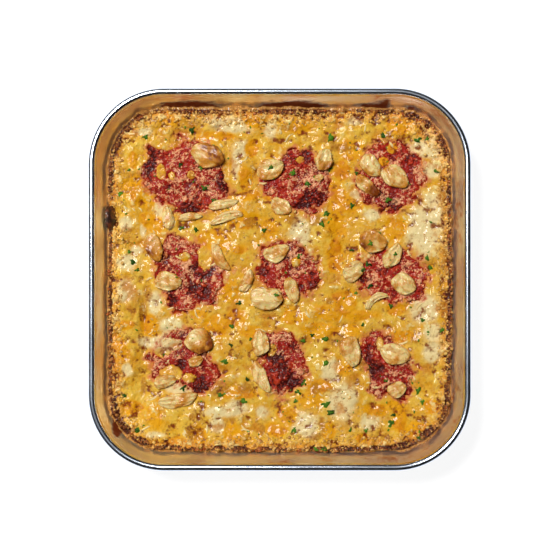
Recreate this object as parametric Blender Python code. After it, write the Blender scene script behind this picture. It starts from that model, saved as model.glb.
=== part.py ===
"""A square foil tray of baked pasta, seen from above in the photograph.

The tray is one drawn sheet of foil with a curled rim. The bake fills it to about a third below the rim:
a closed body whose top is a height field of soft folds under melted cheese, with a rough browned crust
along the wall. Nine patches of crumbly red sauce sit in wells in it, and roasted garlic cloves and slices
lie on top, each in its own seat. Larger parsley flakes are fused to what they lie on.

Run with: blender --background --python part.py
Metres, +Z up. The origin is the middle of the underside of the tray.
"""

import math

import bmesh
import bpy
import numpy as np
from mathutils import Euler, Matrix, Vector

MM = 0.001

# Tray, in millimetres
TRAY_SIDE = 206.0
TRAY_HEIGHT = 45.0
RIM_CORNER_RADIUS = 41.0
FOIL = 0.6
BEAD_RADIUS = 1.95
WALL_TAPER_DEG = 17.0
BASE_FILLET = 5.0
CORNER_STEPS = 6
BEAD_STEPS = 8
BEAD_END_DEG = -125.0

# Contents, in millimetres
GAP = 0.35
SEAT_GAP = 0.45
FOOD_LEVEL = 31.0
EDGE_DROP = 2.2
EDGE_DROP_WIDTH = 10.0
CRUST_WIDTH = 12.0
CRUST_RELIEF = 2.0
CRUST_INSET = 2.9
CORNER_INSET = 1.7
FAR_SIDE_INSET = 1.7
RAGGED_EDGE = 2.0
SHOULDER_DEPTH = 4.5
GRID_CELLS = 36
SAUCE_DEPTH = 6.5
SAUCE_RELIEF = 1.5
SAUCE_SPOKES = 16
GARLIC_AROUND = 8
GARLIC_RINGS = 4
GARLIC_SUNK = 0.42

# The side of the bake, downwards: height, clearance beyond the gap, and 2 where a ring has half the points
SIDE_LEVELS = (
    (FOOD_LEVEL - EDGE_DROP - SHOULDER_DEPTH, 0.15, 1),
    (FOIL + BASE_FILLET, 0.15, 2),
    (FOIL + GAP, BASE_FILLET * 0.85, 1),
)

# The photograph: its middle, in pixels, and what a pixel measures at the rim and at the food
PHOTO_MIDDLE = (279.7, 279.5)
RIM_MM_PER_PIXEL = 0.5365
CAMERA_ABOVE_RIM = 1000.0
FOOD_MM_PER_PIXEL = RIM_MM_PER_PIXEL * (1 + (TRAY_HEIGHT - FOOD_LEVEL) / CAMERA_ABOVE_RIM)

# Soft folds of the pasta under the cheese: middle and half-widths in photo pixels, height in millimetres
FOLDS = {
    "left upper lobe": ((120, 205), (15, 30), 1.5),
    "left middle lobe": ((125, 312), (15, 36), 2.4),
    "left lower lobe": ((128, 364), (16, 18), 1.8),
    "left valley": ((144, 315), (5, 32), -2.2),
    "left cheddar channel": ((153, 207), (9, 24), -1.6),
    "low left channel": ((141, 385), (7, 24), -1.8),
    "top ridge": ((228, 122), (44, 12), 1.7),
    "ridge right of first patch": ((240, 163), (12, 28), 2.0),
    "shadow beside that ridge": ((228, 172), (4, 24), -1.5),
    "top right lobe": ((427, 158), (18, 22), 1.3),
    "right middle lobe": ((430, 232), (18, 40), 2.1),
    "right lower lobe": ((434, 316), (15, 34), 1.7),
    "cheddar channel right of second patch": ((338, 182), (9, 30), -1.5),
    "cheddar channel in the middle right": ((345, 238), (10, 26), -1.4),
    "cheddar channel lower middle": ((318, 326), (22, 9), -1.1),
    "low right dome": ((343, 396), (28, 26), 1.7),
    "bottom middle lobe": ((309, 431), (30, 13), 1.5),
    "bottom right lobe": ((372, 431), (22, 12), 1.6),
    "bottom left lobe": ((152, 414), (28, 17), 1.6),
    "bottom lobe": ((222, 412), (24, 20), 1.4),
    "middle left rise": ((236, 240), (16, 22), 1.2),
    "middle rise": ((240, 345), (18, 26), 1.2),
}

# Red sauce: middle in photo pixels, and the reach of its outline every 30 degrees, from the right, then
# leftwards over the top
SAUCE = {
    "sauce_1": ((187, 174), (44, 38, 36, 35, 34, 44, 43, 39, 36, 40, 40, 47)),
    "sauce_2": ((297, 183), (32, 30, 32, 31, 30, 30, 35, 28, 25, 29, 32, 32)),
    "sauce_3": ((393, 178), (32, 31, 30, 35, 36, 34, 35, 33, 31, 33, 29, 30)),
    "sauce_4": ((190, 271), (36, 25, 25, 30, 38, 31, 33, 33, 38, 37, 36, 37)),
    "sauce_5": ((287, 272), (33, 30, 30, 31, 29, 31, 29, 26, 25, 24, 27, 33)),
    "sauce_6": ((393, 278), (34, 31, 28, 24, 32, 35, 33, 32, 27, 24, 25, 32)),
    "sauce_7": ((183, 360), (27, 22, 28, 31, 26, 31, 34, 31, 22, 20, 36, 40)),
    "sauce_8": ((283, 362), (22, 20, 23, 27, 31, 23, 20, 22, 29, 31, 30, 27)),
    "sauce_9": ((387, 366), (27, 25, 23, 33, 37, 30, 20, 22, 30, 30, 38, 31)),
}

# Garlic: middle in photo pixels, length and width in pixels, turn in degrees, thickness as a share of the
# width, taper towards the tip, bend of the spine, and how far it leans up at its tip, in degrees
GARLIC = {
    "garlic_01": ((208, 156), (35, 26), -8, 0.62, 0.15, 0.10, 4),
    "garlic_02": ((270, 169), (29, 22), 12, 0.60, 0.20, 0.25, 6),
    "garlic_03": ((324, 160), (25, 18), 76, 0.62, 0.25, 0.05, 0),
    "garlic_04": ((319, 178), (10, 8), 20, 0.70, 0.10, 0.00, 0),
    "garlic_05": ((371, 166), (26, 19), -58, 0.60, 0.25, 0.30, 5),
    "garlic_06": ((368, 187), (31, 14), -38, 0.70, 0.30, 0.15, 0),
    "garlic_07": ((395, 177), (31, 23), -40, 0.62, 0.20, 0.10, 4),
    "garlic_08": ((223, 204), (33, 10), 8, 0.75, 0.25, 0.10, 0),
    "garlic_09": ((228, 217), (38, 10), 17, 0.80, 0.30, -0.15, 0),
    "garlic_10": ((190, 217), (27, 9), 5, 0.80, 0.20, -0.15, 0),
    "garlic_11": ((168, 217), (25, 13), 96, 0.65, 0.30, 0.10, 0),
    "garlic_12": ((281, 206), (24, 17), -30, 0.60, 0.20, 0.10, 3),
    "garlic_13": ((154, 247), (31, 18), -72, 0.62, 0.15, 0.15, 0),
    "garlic_14": ((220, 257), (34, 12), -62, 0.75, 0.25, 0.35, 4),
    "garlic_15": ((277, 253), (27, 18), 22, 0.60, 0.30, 0.10, 0),
    "garlic_16": ((373, 241), (28, 24), -20, 0.62, 0.10, 0.05, 0),
    "garlic_17": ((392, 256), (29, 17), 56, 0.62, 0.20, 0.10, 5),
    "garlic_18": ((353, 271), (25, 20), 35, 0.55, 0.15, 0.05, 0),
    "garlic_19": ((404, 284), (27, 22), -40, 0.60, 0.20, 0.10, 4),
    "garlic_20": ((168, 281), (28, 20), -10, 0.60, 0.15, 0.05, 0),
    "garlic_21": ((247, 281), (24, 12), 66, 0.55, 0.25, 0.20, 0),
    "garlic_22": ((266, 298), (36, 24), 0, 0.60, 0.10, 0.05, 2),
    "garlic_23": ((292, 290), (27, 15), -76, 0.65, 0.25, 0.10, 0),
    "garlic_24": ((375, 300), (29, 9), 36, 0.85, 0.10, -0.55, 0),
    "garlic_25": ((199, 341), (30, 27), -15, 0.62, 0.05, 0.00, 0),
    "garlic_26": ((196, 361), (16, 11), 22, 0.65, 0.20, 0.10, 0),
    "garlic_27": ((260, 343), (28, 19), 95, 0.60, 0.25, 0.05, 0),
    "garlic_28": ((261, 377), (35, 14), -64, 0.70, 0.20, 0.10, 5),
    "garlic_29": ((351, 352), (33, 21), -76, 0.62, 0.15, 0.15, 0),
    "garlic_30": ((394, 354), (32, 23), -14, 0.60, 0.20, 0.10, 4),
    "garlic_31": ((397, 389), (20, 17), 30, 0.60, 0.15, 0.05, 0),
    "garlic_32": ((165, 381), (24, 14), 10, 0.65, 0.25, 0.10, 0),
    "garlic_33": ((179, 400), (42, 15), 11, 0.65, 0.20, 0.05, 0),
}

# Burnt sauce stuck between the crust and the wall: middle and half-sizes in photo pixels
BURNT_MIDDLE = (111.5, 217)
BURNT_HALF = (4.2, 12)

# Parsley: the node each flake lies on, then middle in photo pixels, length in millimetres and turn in degrees
FLAKES = {
    "cheese_bake": (
        (145, 137, 4.0, 20), (192, 130, 4.6, 80), (330, 138, 5.0, 60), (383, 135, 4.4, -60),
        (418, 140, 4.4, 10), (436, 171, 3.4, -40), (120, 194, 3.6, 30), (129, 252, 3.4, 80),
        (133, 262, 4.2, -30), (352, 206, 4.0, 80), (326, 214, 4.6, 30), (322, 224, 4.2, -50),
        (427, 258, 4.0, 70), (430, 268, 3.8, -60), (239, 303, 3.6, 20), (232, 327, 4.0, -70),
        (225, 361, 4.8, 15), (325, 339, 4.6, 10), (303, 341, 3.6, -20), (423, 320, 3.6, -20),
        (442, 330, 3.8, 40), (326, 363, 4.2, 60), (124, 396, 4.0, 10), (138, 430, 4.4, -50),
        (220, 395, 4.2, -5), (244, 401, 4.6, -15), (326, 404, 5.2, 15), (330, 412, 5.2, -10),
        (294, 430, 4.0, 60), (391, 423, 4.8, 50), (418, 391, 4.0, 75), (350, 430, 3.4, 70),
    ),
    "sauce_1": ((204, 188, 4.2, -20), (180, 165, 3.4, 60)),
    "sauce_2": ((293, 172, 4.0, 40), (308, 184, 4.4, -30)),
    "sauce_3": ((388, 200, 4.0, 30),),
    "sauce_9": ((369, 366, 4.2, 60),),
    "garlic_16": ((370, 244, 3.6, 30),),
    "garlic_02": ((271, 167, 3.6, 70),),
}
FLAKE_THICKNESS = 0.5
FLAKE_POINTS = 7


def clear_scene():
    for thing in list(bpy.data.objects):
        bpy.data.objects.remove(thing, do_unlink=True)


def finish(name, colour, roughness, metallic=0.0):
    """A Principled material of one colour, given as linear red, green and blue."""
    material = bpy.data.materials.new(name)
    material.use_nodes = True
    shader = material.node_tree.nodes["Principled BSDF"]
    shader.inputs["Base Color"].default_value = (*colour, 1.0)
    shader.inputs["Roughness"].default_value = roughness
    shader.inputs["Metallic"].default_value = metallic
    return material


def solid(name, points, faces, material=None):
    """An object from points in millimetres and faces as lists of point numbers."""
    mesh = bpy.data.meshes.new(name)
    mesh.from_pydata((np.asarray(points, float) * MM).tolist(), [], faces)
    made = bpy.data.objects.new(name, mesh)
    bpy.context.scene.collection.objects.link(made)
    working = bmesh.new()
    working.from_mesh(mesh)
    bmesh.ops.recalc_face_normals(working, faces=working.faces)
    working.to_mesh(mesh)
    working.free()
    if material:
        mesh.materials.append(material)
    return made


def drop_scraps(mesh):
    """Keeps the largest joined-up piece of a mesh, because a cut can leave a crumb behind."""
    working = bmesh.new()
    working.from_mesh(mesh)
    unseen = set(working.verts)
    pieces = []
    while unseen:
        front = [unseen.pop()]
        piece = set(front)
        while front:
            point = front.pop()
            for edge in point.link_edges:
                other = edge.other_vert(point)
                if other in unseen:
                    unseen.remove(other)
                    piece.add(other)
                    front.append(other)
        pieces.append(piece)
    pieces.sort(key=len, reverse=True)
    scraps = [point for piece in pieces[1:] for point in piece]
    bmesh.ops.delete(working, geom=scraps, context="VERTS")
    bmesh.ops.triangulate(working, faces=working.faces)
    working.to_mesh(mesh)
    working.free()


def combine(target, tools, operation):
    """Joins the tools to the target, or cuts them from it, in one Boolean that is applied, and removes the tools."""
    if not tools:
        return
    group = bpy.data.collections.new("tools")
    bpy.context.scene.collection.children.link(group)
    for tool in tools:
        bpy.context.scene.collection.objects.unlink(tool)
        group.objects.link(tool)
    step = target.modifiers.new(operation, "BOOLEAN")
    step.operation = operation
    step.operand_type = "COLLECTION"
    step.collection = group
    step.solver = "EXACT"
    graph = bpy.context.evaluated_depsgraph_get()
    made = bpy.data.meshes.new_from_object(target.evaluated_get(graph))
    target.modifiers.remove(step)
    target.data = made
    drop_scraps(made)
    for tool in tools:
        bpy.data.objects.remove(tool, do_unlink=True)
    bpy.data.collections.remove(group)


def place(pixel):
    """A photo pixel as x and y in millimetres at the level of the food."""
    across = (pixel[0] - PHOTO_MIDDLE[0]) * FOOD_MM_PER_PIXEL
    up = (PHOTO_MIDDLE[1] - pixel[1]) * FOOD_MM_PER_PIXEL
    return across, up


def ray_to_outline(turn, half, radius):
    """The distance from the middle to a square with rounded corners, in the directions turn, in radians."""
    along = np.maximum(np.abs(np.cos(turn)), np.abs(np.sin(turn)))
    across = np.minimum(np.abs(np.cos(turn)), np.abs(np.sin(turn)))
    flat = half / along
    corner = half - radius
    both = corner * (along + across)
    arc = both + np.sqrt(np.maximum(both**2 - 2 * corner**2 + radius**2, 0))
    return np.where(flat * across <= corner, flat, arc)


def inside_outline(x, y, half, radius):
    """How far each point lies inside a square with rounded corners."""
    over_x = np.abs(x) - (half - radius)
    over_y = np.abs(y) - (half - radius)
    beyond = np.hypot(np.maximum(over_x, 0), np.maximum(over_y, 0))
    return radius - beyond - np.minimum(np.maximum(over_x, over_y), 0)


def soft_noise(x, y, size, seed):
    """Smooth noise from 0 to 1: seeded values on a lattice of the given size, blended between its points."""
    values = np.random.default_rng(seed).random((64, 64))
    column = x / size + 32
    row = y / size + 32
    left = np.floor(column).astype(int)
    below = np.floor(row).astype(int)
    along = column - left
    up = row - below
    along = along * along * (3 - 2 * along)
    up = up * up * (3 - 2 * up)
    left, right = left % 64, (left + 1) % 64
    below, above = below % 64, (below + 1) % 64
    lower = values[below, left] * (1 - along) + values[below, right] * along
    upper = values[above, left] * (1 - along) + values[above, right] * along
    return lower * (1 - up) + upper * up


def wall_inset(height):
    """How far the inner face of the wall lies inside the tray's outer edge, at a height."""
    bead_middle = TRAY_HEIGHT - BEAD_RADIUS
    return 2 * BEAD_RADIUS + (bead_middle - height) * math.tan(math.radians(WALL_TAPER_DEG))


def food_height(x, y):
    """The top of the bake: a level, soft folds, fine unevenness, a drop at the wall and the crust's crags."""
    height = FOOD_LEVEL + 0.9 * (soft_noise(x, y, 13, 3) - 0.5) + 0.7 * (soft_noise(x, y, 6, 4) - 0.5)
    for middle, reach, rise in FOLDS.values():
        middle_x, middle_y = place(middle)
        across = (x - middle_x) / (reach[0] * FOOD_MM_PER_PIXEL)
        up = (y - middle_y) / (reach[1] * FOOD_MM_PER_PIXEL)
        height = height + rise * np.exp(-(across**2) - up**2)
    inset = wall_inset(FOOD_LEVEL)
    inside = inside_outline(x, y, TRAY_SIDE / 2 - inset, RIM_CORNER_RADIUS - inset)
    near_wall = np.clip(1 - inside / EDGE_DROP_WIDTH, 0, 1)
    in_crust = np.clip(1 - inside / CRUST_WIDTH, 0, 1)
    crags = CRUST_RELIEF * (soft_noise(x, y, 3.1, 5) - 0.45) * np.sqrt(in_crust)
    return height - EDGE_DROP * near_wall**2 + crags


def height_at(pixel):
    x, y = place(pixel)
    return float(food_height(np.array(x), np.array(y)))


def outline_ring(half, radius):
    """Points round a square with rounded corners: CORNER_STEPS to each corner's quarter turn."""
    ring = []
    for corner in range(4):
        start = corner * math.pi / 2
        middle = Vector((half - radius, half - radius)) @ Matrix.Rotation(-start, 2)
        for step in range(CORNER_STEPS + 1):
            turn = start + step / CORNER_STEPS * math.pi / 2
            ring.append((middle.x + radius * math.cos(turn), middle.y + radius * math.sin(turn)))
    return ring


def tray_profile():
    """The sheet's section as (inset from the outer edge, height): up the inside, round the curl and back outside."""
    taper = math.radians(WALL_TAPER_DEG)
    bead_middle = TRAY_HEIGHT - BEAD_RADIUS
    fillet_turn = math.pi / 2 - taper
    wall_foot = wall_inset(FOIL + BASE_FILLET * (1 - math.sin(taper)))
    fillet_middle = wall_foot + BASE_FILLET * math.cos(taper)
    start = math.pi - taper
    end = math.radians(BEAD_END_DEG)
    inner = []
    for step in range(4):
        turn = step / 3 * fillet_turn
        inset = fillet_middle - BASE_FILLET * math.sin(turn)
        inner.append((inset, FOIL + BASE_FILLET * (1 - math.cos(turn))))
    outer = []
    for step in range(4):
        turn = step / 3 * fillet_turn
        inset = fillet_middle - (BASE_FILLET + FOIL) * math.sin(turn)
        outer.append((inset, FOIL + BASE_FILLET - (BASE_FILLET + FOIL) * math.cos(turn)))
    curl = []
    for step in range(BEAD_STEPS + 1):
        turn = start + step / BEAD_STEPS * (end - start)
        curl.append((math.cos(turn), math.sin(turn)))
    shown = [(BEAD_RADIUS * (1 - c), bead_middle + BEAD_RADIUS * s) for c, s in curl]
    core = BEAD_RADIUS - FOIL
    hidden = [(BEAD_RADIUS - core * c, bead_middle + core * s) for c, s in curl]
    return inner + shown + hidden[::-1] + outer[::-1]


def make_tray(material):
    """Sweeps the section round the tray and closes the base above and below."""
    section = tray_profile()
    rings = [outline_ring(TRAY_SIDE / 2 - inset, RIM_CORNER_RADIUS - inset) for inset, _ in section]
    points = [(x, y, height) for ring, (_, height) in zip(rings, section) for x, y in ring]
    around = len(rings[0])
    faces = [list(range(around)), list(range(len(points) - around, len(points)))]
    for row in range(len(section) - 1):
        for column in range(around):
            after = (column + 1) % around
            first = row * around
            second = first + around
            faces.append([first + column, first + after, second + after, second + column])
    return solid("foil_tray", points, faces, material)


def grid_border(cells):
    """Grid point numbers once round the border, each once."""
    side = cells + 1
    bottom = [(0, column) for column in range(cells)]
    right = [(row, cells) for row in range(cells)]
    top = [(cells, column) for column in range(cells, 0, -1)]
    left = [(row, 0) for row in range(cells, 0, -1)]
    return [row * side + column for row, column in bottom + right + top + left]


def crust_inset(turn):
    """How far the crust's edge has shrunk from the wall: most at the corners and the far side, ragged all round."""
    corner = np.sin(2 * turn) ** 6
    far_side = np.clip((np.sin(turn) - 0.7) / 0.2, 0, 1)
    ragged = RAGGED_EDGE * (soft_noise(60 * np.cos(turn), 60 * np.sin(turn), 3.6, 6) - 0.5)
    return CRUST_INSET + CORNER_INSET * corner + FAR_SIDE_INSET * far_side + ragged


def make_bake(material):
    """A grid pulled to the tray's outline, lifted to the height field, with a side and a flat underside."""
    step = np.linspace(-1, 1, GRID_CELLS + 1)
    step = 0.62 * step + 0.38 * np.sin(step * math.pi / 2)
    across, up = np.meshgrid(step, step)
    share = np.maximum(np.abs(across), np.abs(up)).ravel()
    turn = np.arctan2(up, across).ravel()
    inset = wall_inset(FOOD_LEVEL)
    half = TRAY_SIDE / 2 - inset
    reach = ray_to_outline(turn, half, RIM_CORNER_RADIUS - inset) - crust_inset(turn)
    x = share * reach * np.cos(turn)
    y = share * reach * np.sin(turn)
    top = np.column_stack([x, y, food_height(x, y)])
    side = GRID_CELLS + 1
    faces = []
    for row in range(GRID_CELLS):
        for column in range(GRID_CELLS):
            corner = row * side + column
            if (2 * row + 1 - GRID_CELLS) * (2 * column + 1 - GRID_CELLS) > 0:
                faces += [[corner, corner + 1, corner + side + 1], [corner, corner + side + 1, corner + side]]
            else:
                faces += [[corner, corner + 1, corner + side], [corner + 1, corner + side + 1, corner + side]]
    last = grid_border(GRID_CELLS)
    last_turn = turn[last]
    points = [top]
    for level, away, coarser in SIDE_LEVELS:
        ring_turn = last_turn[::coarser]
        inset = wall_inset(level) + GAP + away
        reach = ray_to_outline(ring_turn, TRAY_SIDE / 2 - inset, RIM_CORNER_RADIUS - inset)
        heights = np.full(len(ring_turn), level)
        ring = np.column_stack([reach * np.cos(ring_turn), reach * np.sin(ring_turn), heights])
        begin = sum(len(part) for part in points)
        numbers = list(range(begin, begin + len(ring)))
        points.append(ring)
        for index, number in enumerate(numbers):
            after = numbers[(index + 1) % len(numbers)]
            above = [last[(index * coarser + step) % len(last)] for step in range(coarser + 1)]
            faces += [[above[step], above[step + 1], number] for step in range(coarser)]
            faces.append([above[-1], after, number])
        last = numbers
        last_turn = ring_turn
    faces.append(last)
    return solid("cheese_bake", np.concatenate(points), faces, material)


def sauce_reach(radii, turn):
    """The reach of a patch's outline in millimetres: its radii blended smoothly all the way round."""
    count = len(radii)
    spot = np.mod(turn / (2 * math.pi) * count, count)
    before = np.floor(spot).astype(int) % count
    share = spot - np.floor(spot)
    share = share * share * (3 - 2 * share)
    table = np.array(radii, float)
    return (table[before] * (1 - share) + table[(before + 1) % count] * share) * FOOD_MM_PER_PIXEL


def sauce_rings(name):
    """Rings of points across a patch, from near its middle to its outline, as x, y and share of the reach."""
    middle, radii = SAUCE[name]
    middle_x, middle_y = place(middle)
    turn = np.arange(SAUCE_SPOKES) / SAUCE_SPOKES * 2 * math.pi
    reach = sauce_reach(radii, turn)
    rings = []
    for share in (0.45, 0.85, 1.0):
        x = middle_x + reach * share * np.cos(turn)
        y = middle_y + reach * share * np.sin(turn)
        rings.append((x, y, share))
    return (middle_x, middle_y), rings


def make_sauce(name, material):
    """A low crumbly cushion in its well: lumpy on top, rounded at the rim, flat below."""
    (middle_x, middle_y), rings = sauce_rings(name)
    floor = float(food_height(np.array(middle_x), np.array(middle_y))) - SAUCE_DEPTH
    points = [[middle_x, middle_y, floor + SAUCE_DEPTH + 0.5]]
    for x, y, share in rings:
        lumps = SAUCE_RELIEF * (soft_noise(x, y, 4.2, 11) - 0.4)
        height = food_height(x, y) + (0.3 + lumps if share < 1 else -1.0)
        points += np.column_stack([x, y, np.maximum(height, floor + 0.8)]).tolist()
    x, y, _ = rings[-1]
    points += np.column_stack([x, y, np.full(len(x), floor)]).tolist()
    faces = [[0, 1 + spoke, 1 + (spoke + 1) % SAUCE_SPOKES] for spoke in range(SAUCE_SPOKES)]
    for ring in range(len(rings)):
        for spoke in range(SAUCE_SPOKES):
            after = (spoke + 1) % SAUCE_SPOKES
            first = 1 + ring * SAUCE_SPOKES
            second = first + SAUCE_SPOKES
            faces.append([first + spoke, second + spoke, second + after])
            faces.append([first + spoke, second + after, first + after])
    start = 1 + len(rings) * SAUCE_SPOKES
    faces.append(list(range(start, start + SAUCE_SPOKES))[::-1])
    return solid(name, points, faces, material)


def prism(name, low, high):
    """A closed body between two outlines of as many points, one above the other."""
    count = len(low)
    faces = [list(range(count))[::-1], list(range(count, 2 * count))]
    faces += [[i, (i + 1) % count, count + (i + 1) % count, count + i] for i in range(count)]
    return solid(name, np.concatenate([low, high]), faces)


def sauce_cutter(name):
    """The well of a patch: its outline and floor with the gap added, open upwards."""
    (middle_x, middle_y), rings = sauce_rings(name)
    x, y, _ = rings[-1]
    away = np.hypot(x - middle_x, y - middle_y)
    grown = (away + SEAT_GAP) / away
    x = middle_x + (x - middle_x) * grown
    y = middle_y + (y - middle_y) * grown
    floor = float(food_height(np.array(middle_x), np.array(middle_y))) - SAUCE_DEPTH - GAP
    low = np.column_stack([x, y, np.full(len(x), floor)])
    high = np.column_stack([x, y, np.full(len(x), FOOD_LEVEL + 12)])
    return prism(name + "_well", low, high)


def garlic_turned(name):
    """The place and turn of a piece of garlic as a matrix, in millimetres, and its half sizes."""
    middle, size, turn, thick, _, _, lean = GARLIC[name]
    half_length = size[0] * FOOD_MM_PER_PIXEL / 2
    half_width = size[1] * FOOD_MM_PER_PIXEL / 2
    half_height = half_width * thick
    x, y = place(middle)
    height = height_at(middle) + half_height * (1 - 2 * GARLIC_SUNK)
    turned = Euler((0, math.radians(-lean), math.radians(turn))).to_matrix().to_4x4()
    return Matrix.Translation((x, y, height)) @ turned, (half_length, half_width, half_height)


def garlic_stations(name, half_length):
    """Places along a clove's spine as (along, sideways shift, share of the full width)."""
    _, _, _, _, taper, bend, _ = GARLIC[name]
    stations = []
    for ring in range(GARLIC_RINGS):
        along = -math.cos((ring + 1) / (GARLIC_RINGS + 1) * math.pi)
        share = (1 - along**2) ** 0.45 * (1 - taper * along)
        stations.append((along, bend * half_length * (along**2 - 0.35), share))
    return stations, bend * half_length * 0.65


def make_garlic(name, material):
    """A clove or slice: an oval body with a narrower tip and a bent spine."""
    matrix, (half_length, half_width, half_height) = garlic_turned(name)
    stations, tip = garlic_stations(name, half_length)
    points = []
    for along, shift, share in stations:
        for spoke in range(GARLIC_AROUND):
            turn = (spoke + 0.5) / GARLIC_AROUND * 2 * math.pi
            points.append((
                along * half_length,
                shift + math.cos(turn) * half_width * share,
                math.sin(turn) * half_height * share,
            ))
    points.append((-half_length, tip, 0))
    points.append((half_length, tip, 0))
    faces = []
    for ring in range(GARLIC_RINGS - 1):
        for spoke in range(GARLIC_AROUND):
            after = (spoke + 1) % GARLIC_AROUND
            first = ring * GARLIC_AROUND
            second = first + GARLIC_AROUND
            faces.append([first + spoke, first + after, second + after])
            faces.append([first + spoke, second + after, second + spoke])
    start = len(points) - 2
    end = len(points) - 1
    last = (GARLIC_RINGS - 1) * GARLIC_AROUND
    for spoke in range(GARLIC_AROUND):
        after = (spoke + 1) % GARLIC_AROUND
        faces.append([start, after, spoke])
        faces.append([end, last + spoke, last + after])
    made = solid(name, [matrix @ Vector(point) for point in points], faces, material)
    made.data.shade_smooth()
    return made


def make_seat(name):
    """The seat of a piece of garlic: its outline and lowest point with the gap added, open upwards."""
    matrix, (half_length, half_width, half_height) = garlic_turned(name)
    stations, tip = garlic_stations(name, half_length)
    widest = math.cos(math.pi / GARLIC_AROUND)
    near = []
    far = []
    for along, shift, share in stations:
        away = half_width * share * widest + SEAT_GAP
        near.append((along * half_length, shift - away))
        far.append((along * half_length, shift + away))
    ends = half_length + SEAT_GAP
    outline = [(-ends, tip), *near, (ends, tip), *far[::-1]]
    placed = [matrix @ Vector((x, y, 0)) for x, y in outline]
    floor = matrix.translation.z - half_height * max(share for _, _, share in stations) - SEAT_GAP
    low = [(point.x, point.y, floor) for point in placed]
    high = [(point.x, point.y, FOOD_LEVEL + 12) for point in placed]
    return prism(name + "_seat", low, high)


def make_burnt(material=None, grow=0.0):
    """A low blob of burnt sauce against the wall, from a coarse ball squashed to size."""
    x, y = place(BURNT_MIDDLE)
    working = bmesh.new()
    bmesh.ops.create_icosphere(working, subdivisions=2, radius=1.0)
    half = Vector((BURNT_HALF[0], BURNT_HALF[1], 5.5)) * FOOD_MM_PER_PIXEL
    for point in working.verts:
        lump = 1 + 0.08 * math.sin(5 * point.co.y + 3 * point.co.x)
        point.co = Vector((
            x + point.co.x * (half.x * lump + grow),
            y + point.co.y * (half.y + grow),
            FOOD_LEVEL - 1.5 + point.co.z * (half.z * lump + grow),
        ))
    points = [tuple(point.co) for point in working.verts]
    faces = [[point.index for point in face.verts] for face in working.faces]
    working.free()
    return solid("burnt_sauce" if material else "burnt_sauce_seat", points, faces, material)


def make_flake(middle_x, middle_y, height, length, turn):
    """A parsley leaf: a thin wavy lobed sheet with both faces split alike, bedded in what it lies on."""
    top = []
    bottom = []
    for number in range(FLAKE_POINTS):
        spin = number / FLAKE_POINTS * 2 * math.pi
        reach = length / 2 * (1.0 if number % 2 == 0 else 0.62)
        along = reach * math.cos(spin)
        across = reach * 0.75 * math.sin(spin)
        x = middle_x + along * math.cos(turn) - across * math.sin(turn)
        y = middle_y + along * math.sin(turn) + across * math.cos(turn)
        lift = height + 0.35 + 0.25 * math.sin(3 * spin) + 0.12 * along
        top.append((x, y, lift + FLAKE_THICKNESS / 2))
        bottom.append((x, y, lift - FLAKE_THICKNESS))
    points = [(middle_x, middle_y, height + 0.45)] + top + [(middle_x, middle_y, height - 0.5)] + bottom
    faces = []
    under = FLAKE_POINTS + 1
    for number in range(FLAKE_POINTS):
        after = (number + 1) % FLAKE_POINTS
        faces.append([0, 1 + number, 1 + after])
        faces.append([under, under + 1 + after, under + 1 + number])
        faces.append([1 + number, under + 1 + number, under + 1 + after])
        faces.append([1 + number, under + 1 + after, 1 + after])
    return solid("flake", points, faces)


def top_of(target, x, y):
    """The height of an object's upper surface above a point, in millimetres."""
    hit, spot, _, _ = target.ray_cast(Vector((x * MM, y * MM, 2 * TRAY_HEIGHT * MM)), Vector((0, 0, -1)))
    return spot.z / MM if hit else None


def add_flakes(target):
    """Fuses the flakes that lie on this node to it."""
    flakes = []
    for across, down, length, turn in FLAKES.get(target.name, ()):
        x, y = place((across, down))
        height = top_of(target, x, y)
        if height is not None:
            flakes.append(make_flake(x, y, height, length, math.radians(turn)))
    combine(target, flakes, "UNION")


def boxes_meet(first, second):
    """Whether two objects' boxes come within the seat gap of each other."""
    low_1 = np.min([corner[:] for corner in first.bound_box], axis=0) - SEAT_GAP * MM
    high_1 = np.max([corner[:] for corner in first.bound_box], axis=0) + SEAT_GAP * MM
    low_2 = np.min([corner[:] for corner in second.bound_box], axis=0)
    high_2 = np.max([corner[:] for corner in second.bound_box], axis=0)
    return bool(np.all(low_1 <= high_2) and np.all(low_2 <= high_1))


def seat_garlic(pieces):
    """Cuts each piece where a higher neighbour rests against it, so that none overlap."""
    order = sorted(pieces, key=lambda name: garlic_turned(name)[0].translation.z, reverse=True)
    for number, name in enumerate(order):
        above = [other for other in order[:number] if boxes_meet(pieces[name], pieces[other])]
        combine(pieces[name], [make_seat(other) for other in above], "DIFFERENCE")


def main():
    clear_scene()
    foil = finish("pressed aluminium foil", (0.80, 0.81, 0.83), 0.32, 1.0)
    cheese = finish("melted cheese on baked pasta", (0.80, 0.52, 0.18), 0.45)
    tomato = finish("crumbly tomato sauce", (0.36, 0.03, 0.02), 0.55)
    roasted = finish("roasted garlic", (0.74, 0.47, 0.17), 0.35)
    burnt = finish("burnt sauce", (0.06, 0.01, 0.01), 0.5)

    make_tray(foil)
    garlic = {name: make_garlic(name, roasted) for name in GARLIC}
    seat_garlic(garlic)
    patches = {name: make_sauce(name, tomato) for name in SAUCE}
    bake = make_bake(cheese)
    blob = make_burnt(burnt)
    for piece in [bake, *patches.values(), garlic["garlic_02"], garlic["garlic_16"]]:
        add_flakes(piece)
    for patch in patches.values():
        over = [name for name in GARLIC if boxes_meet(patch, garlic[name])]
        combine(patch, [make_seat(name) for name in over], "DIFFERENCE")
    seats = [make_seat(name) for name in GARLIC]
    seats += [sauce_cutter(name) for name in SAUCE]
    seats.append(make_burnt(grow=SEAT_GAP))
    combine(bake, seats, "DIFFERENCE")
    blob.data.shade_smooth()


main()
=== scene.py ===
import math

import bpy
import numpy as np
from mathutils import Euler, Matrix, Vector
from mathutils.bvhtree import BVHTree


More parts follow.
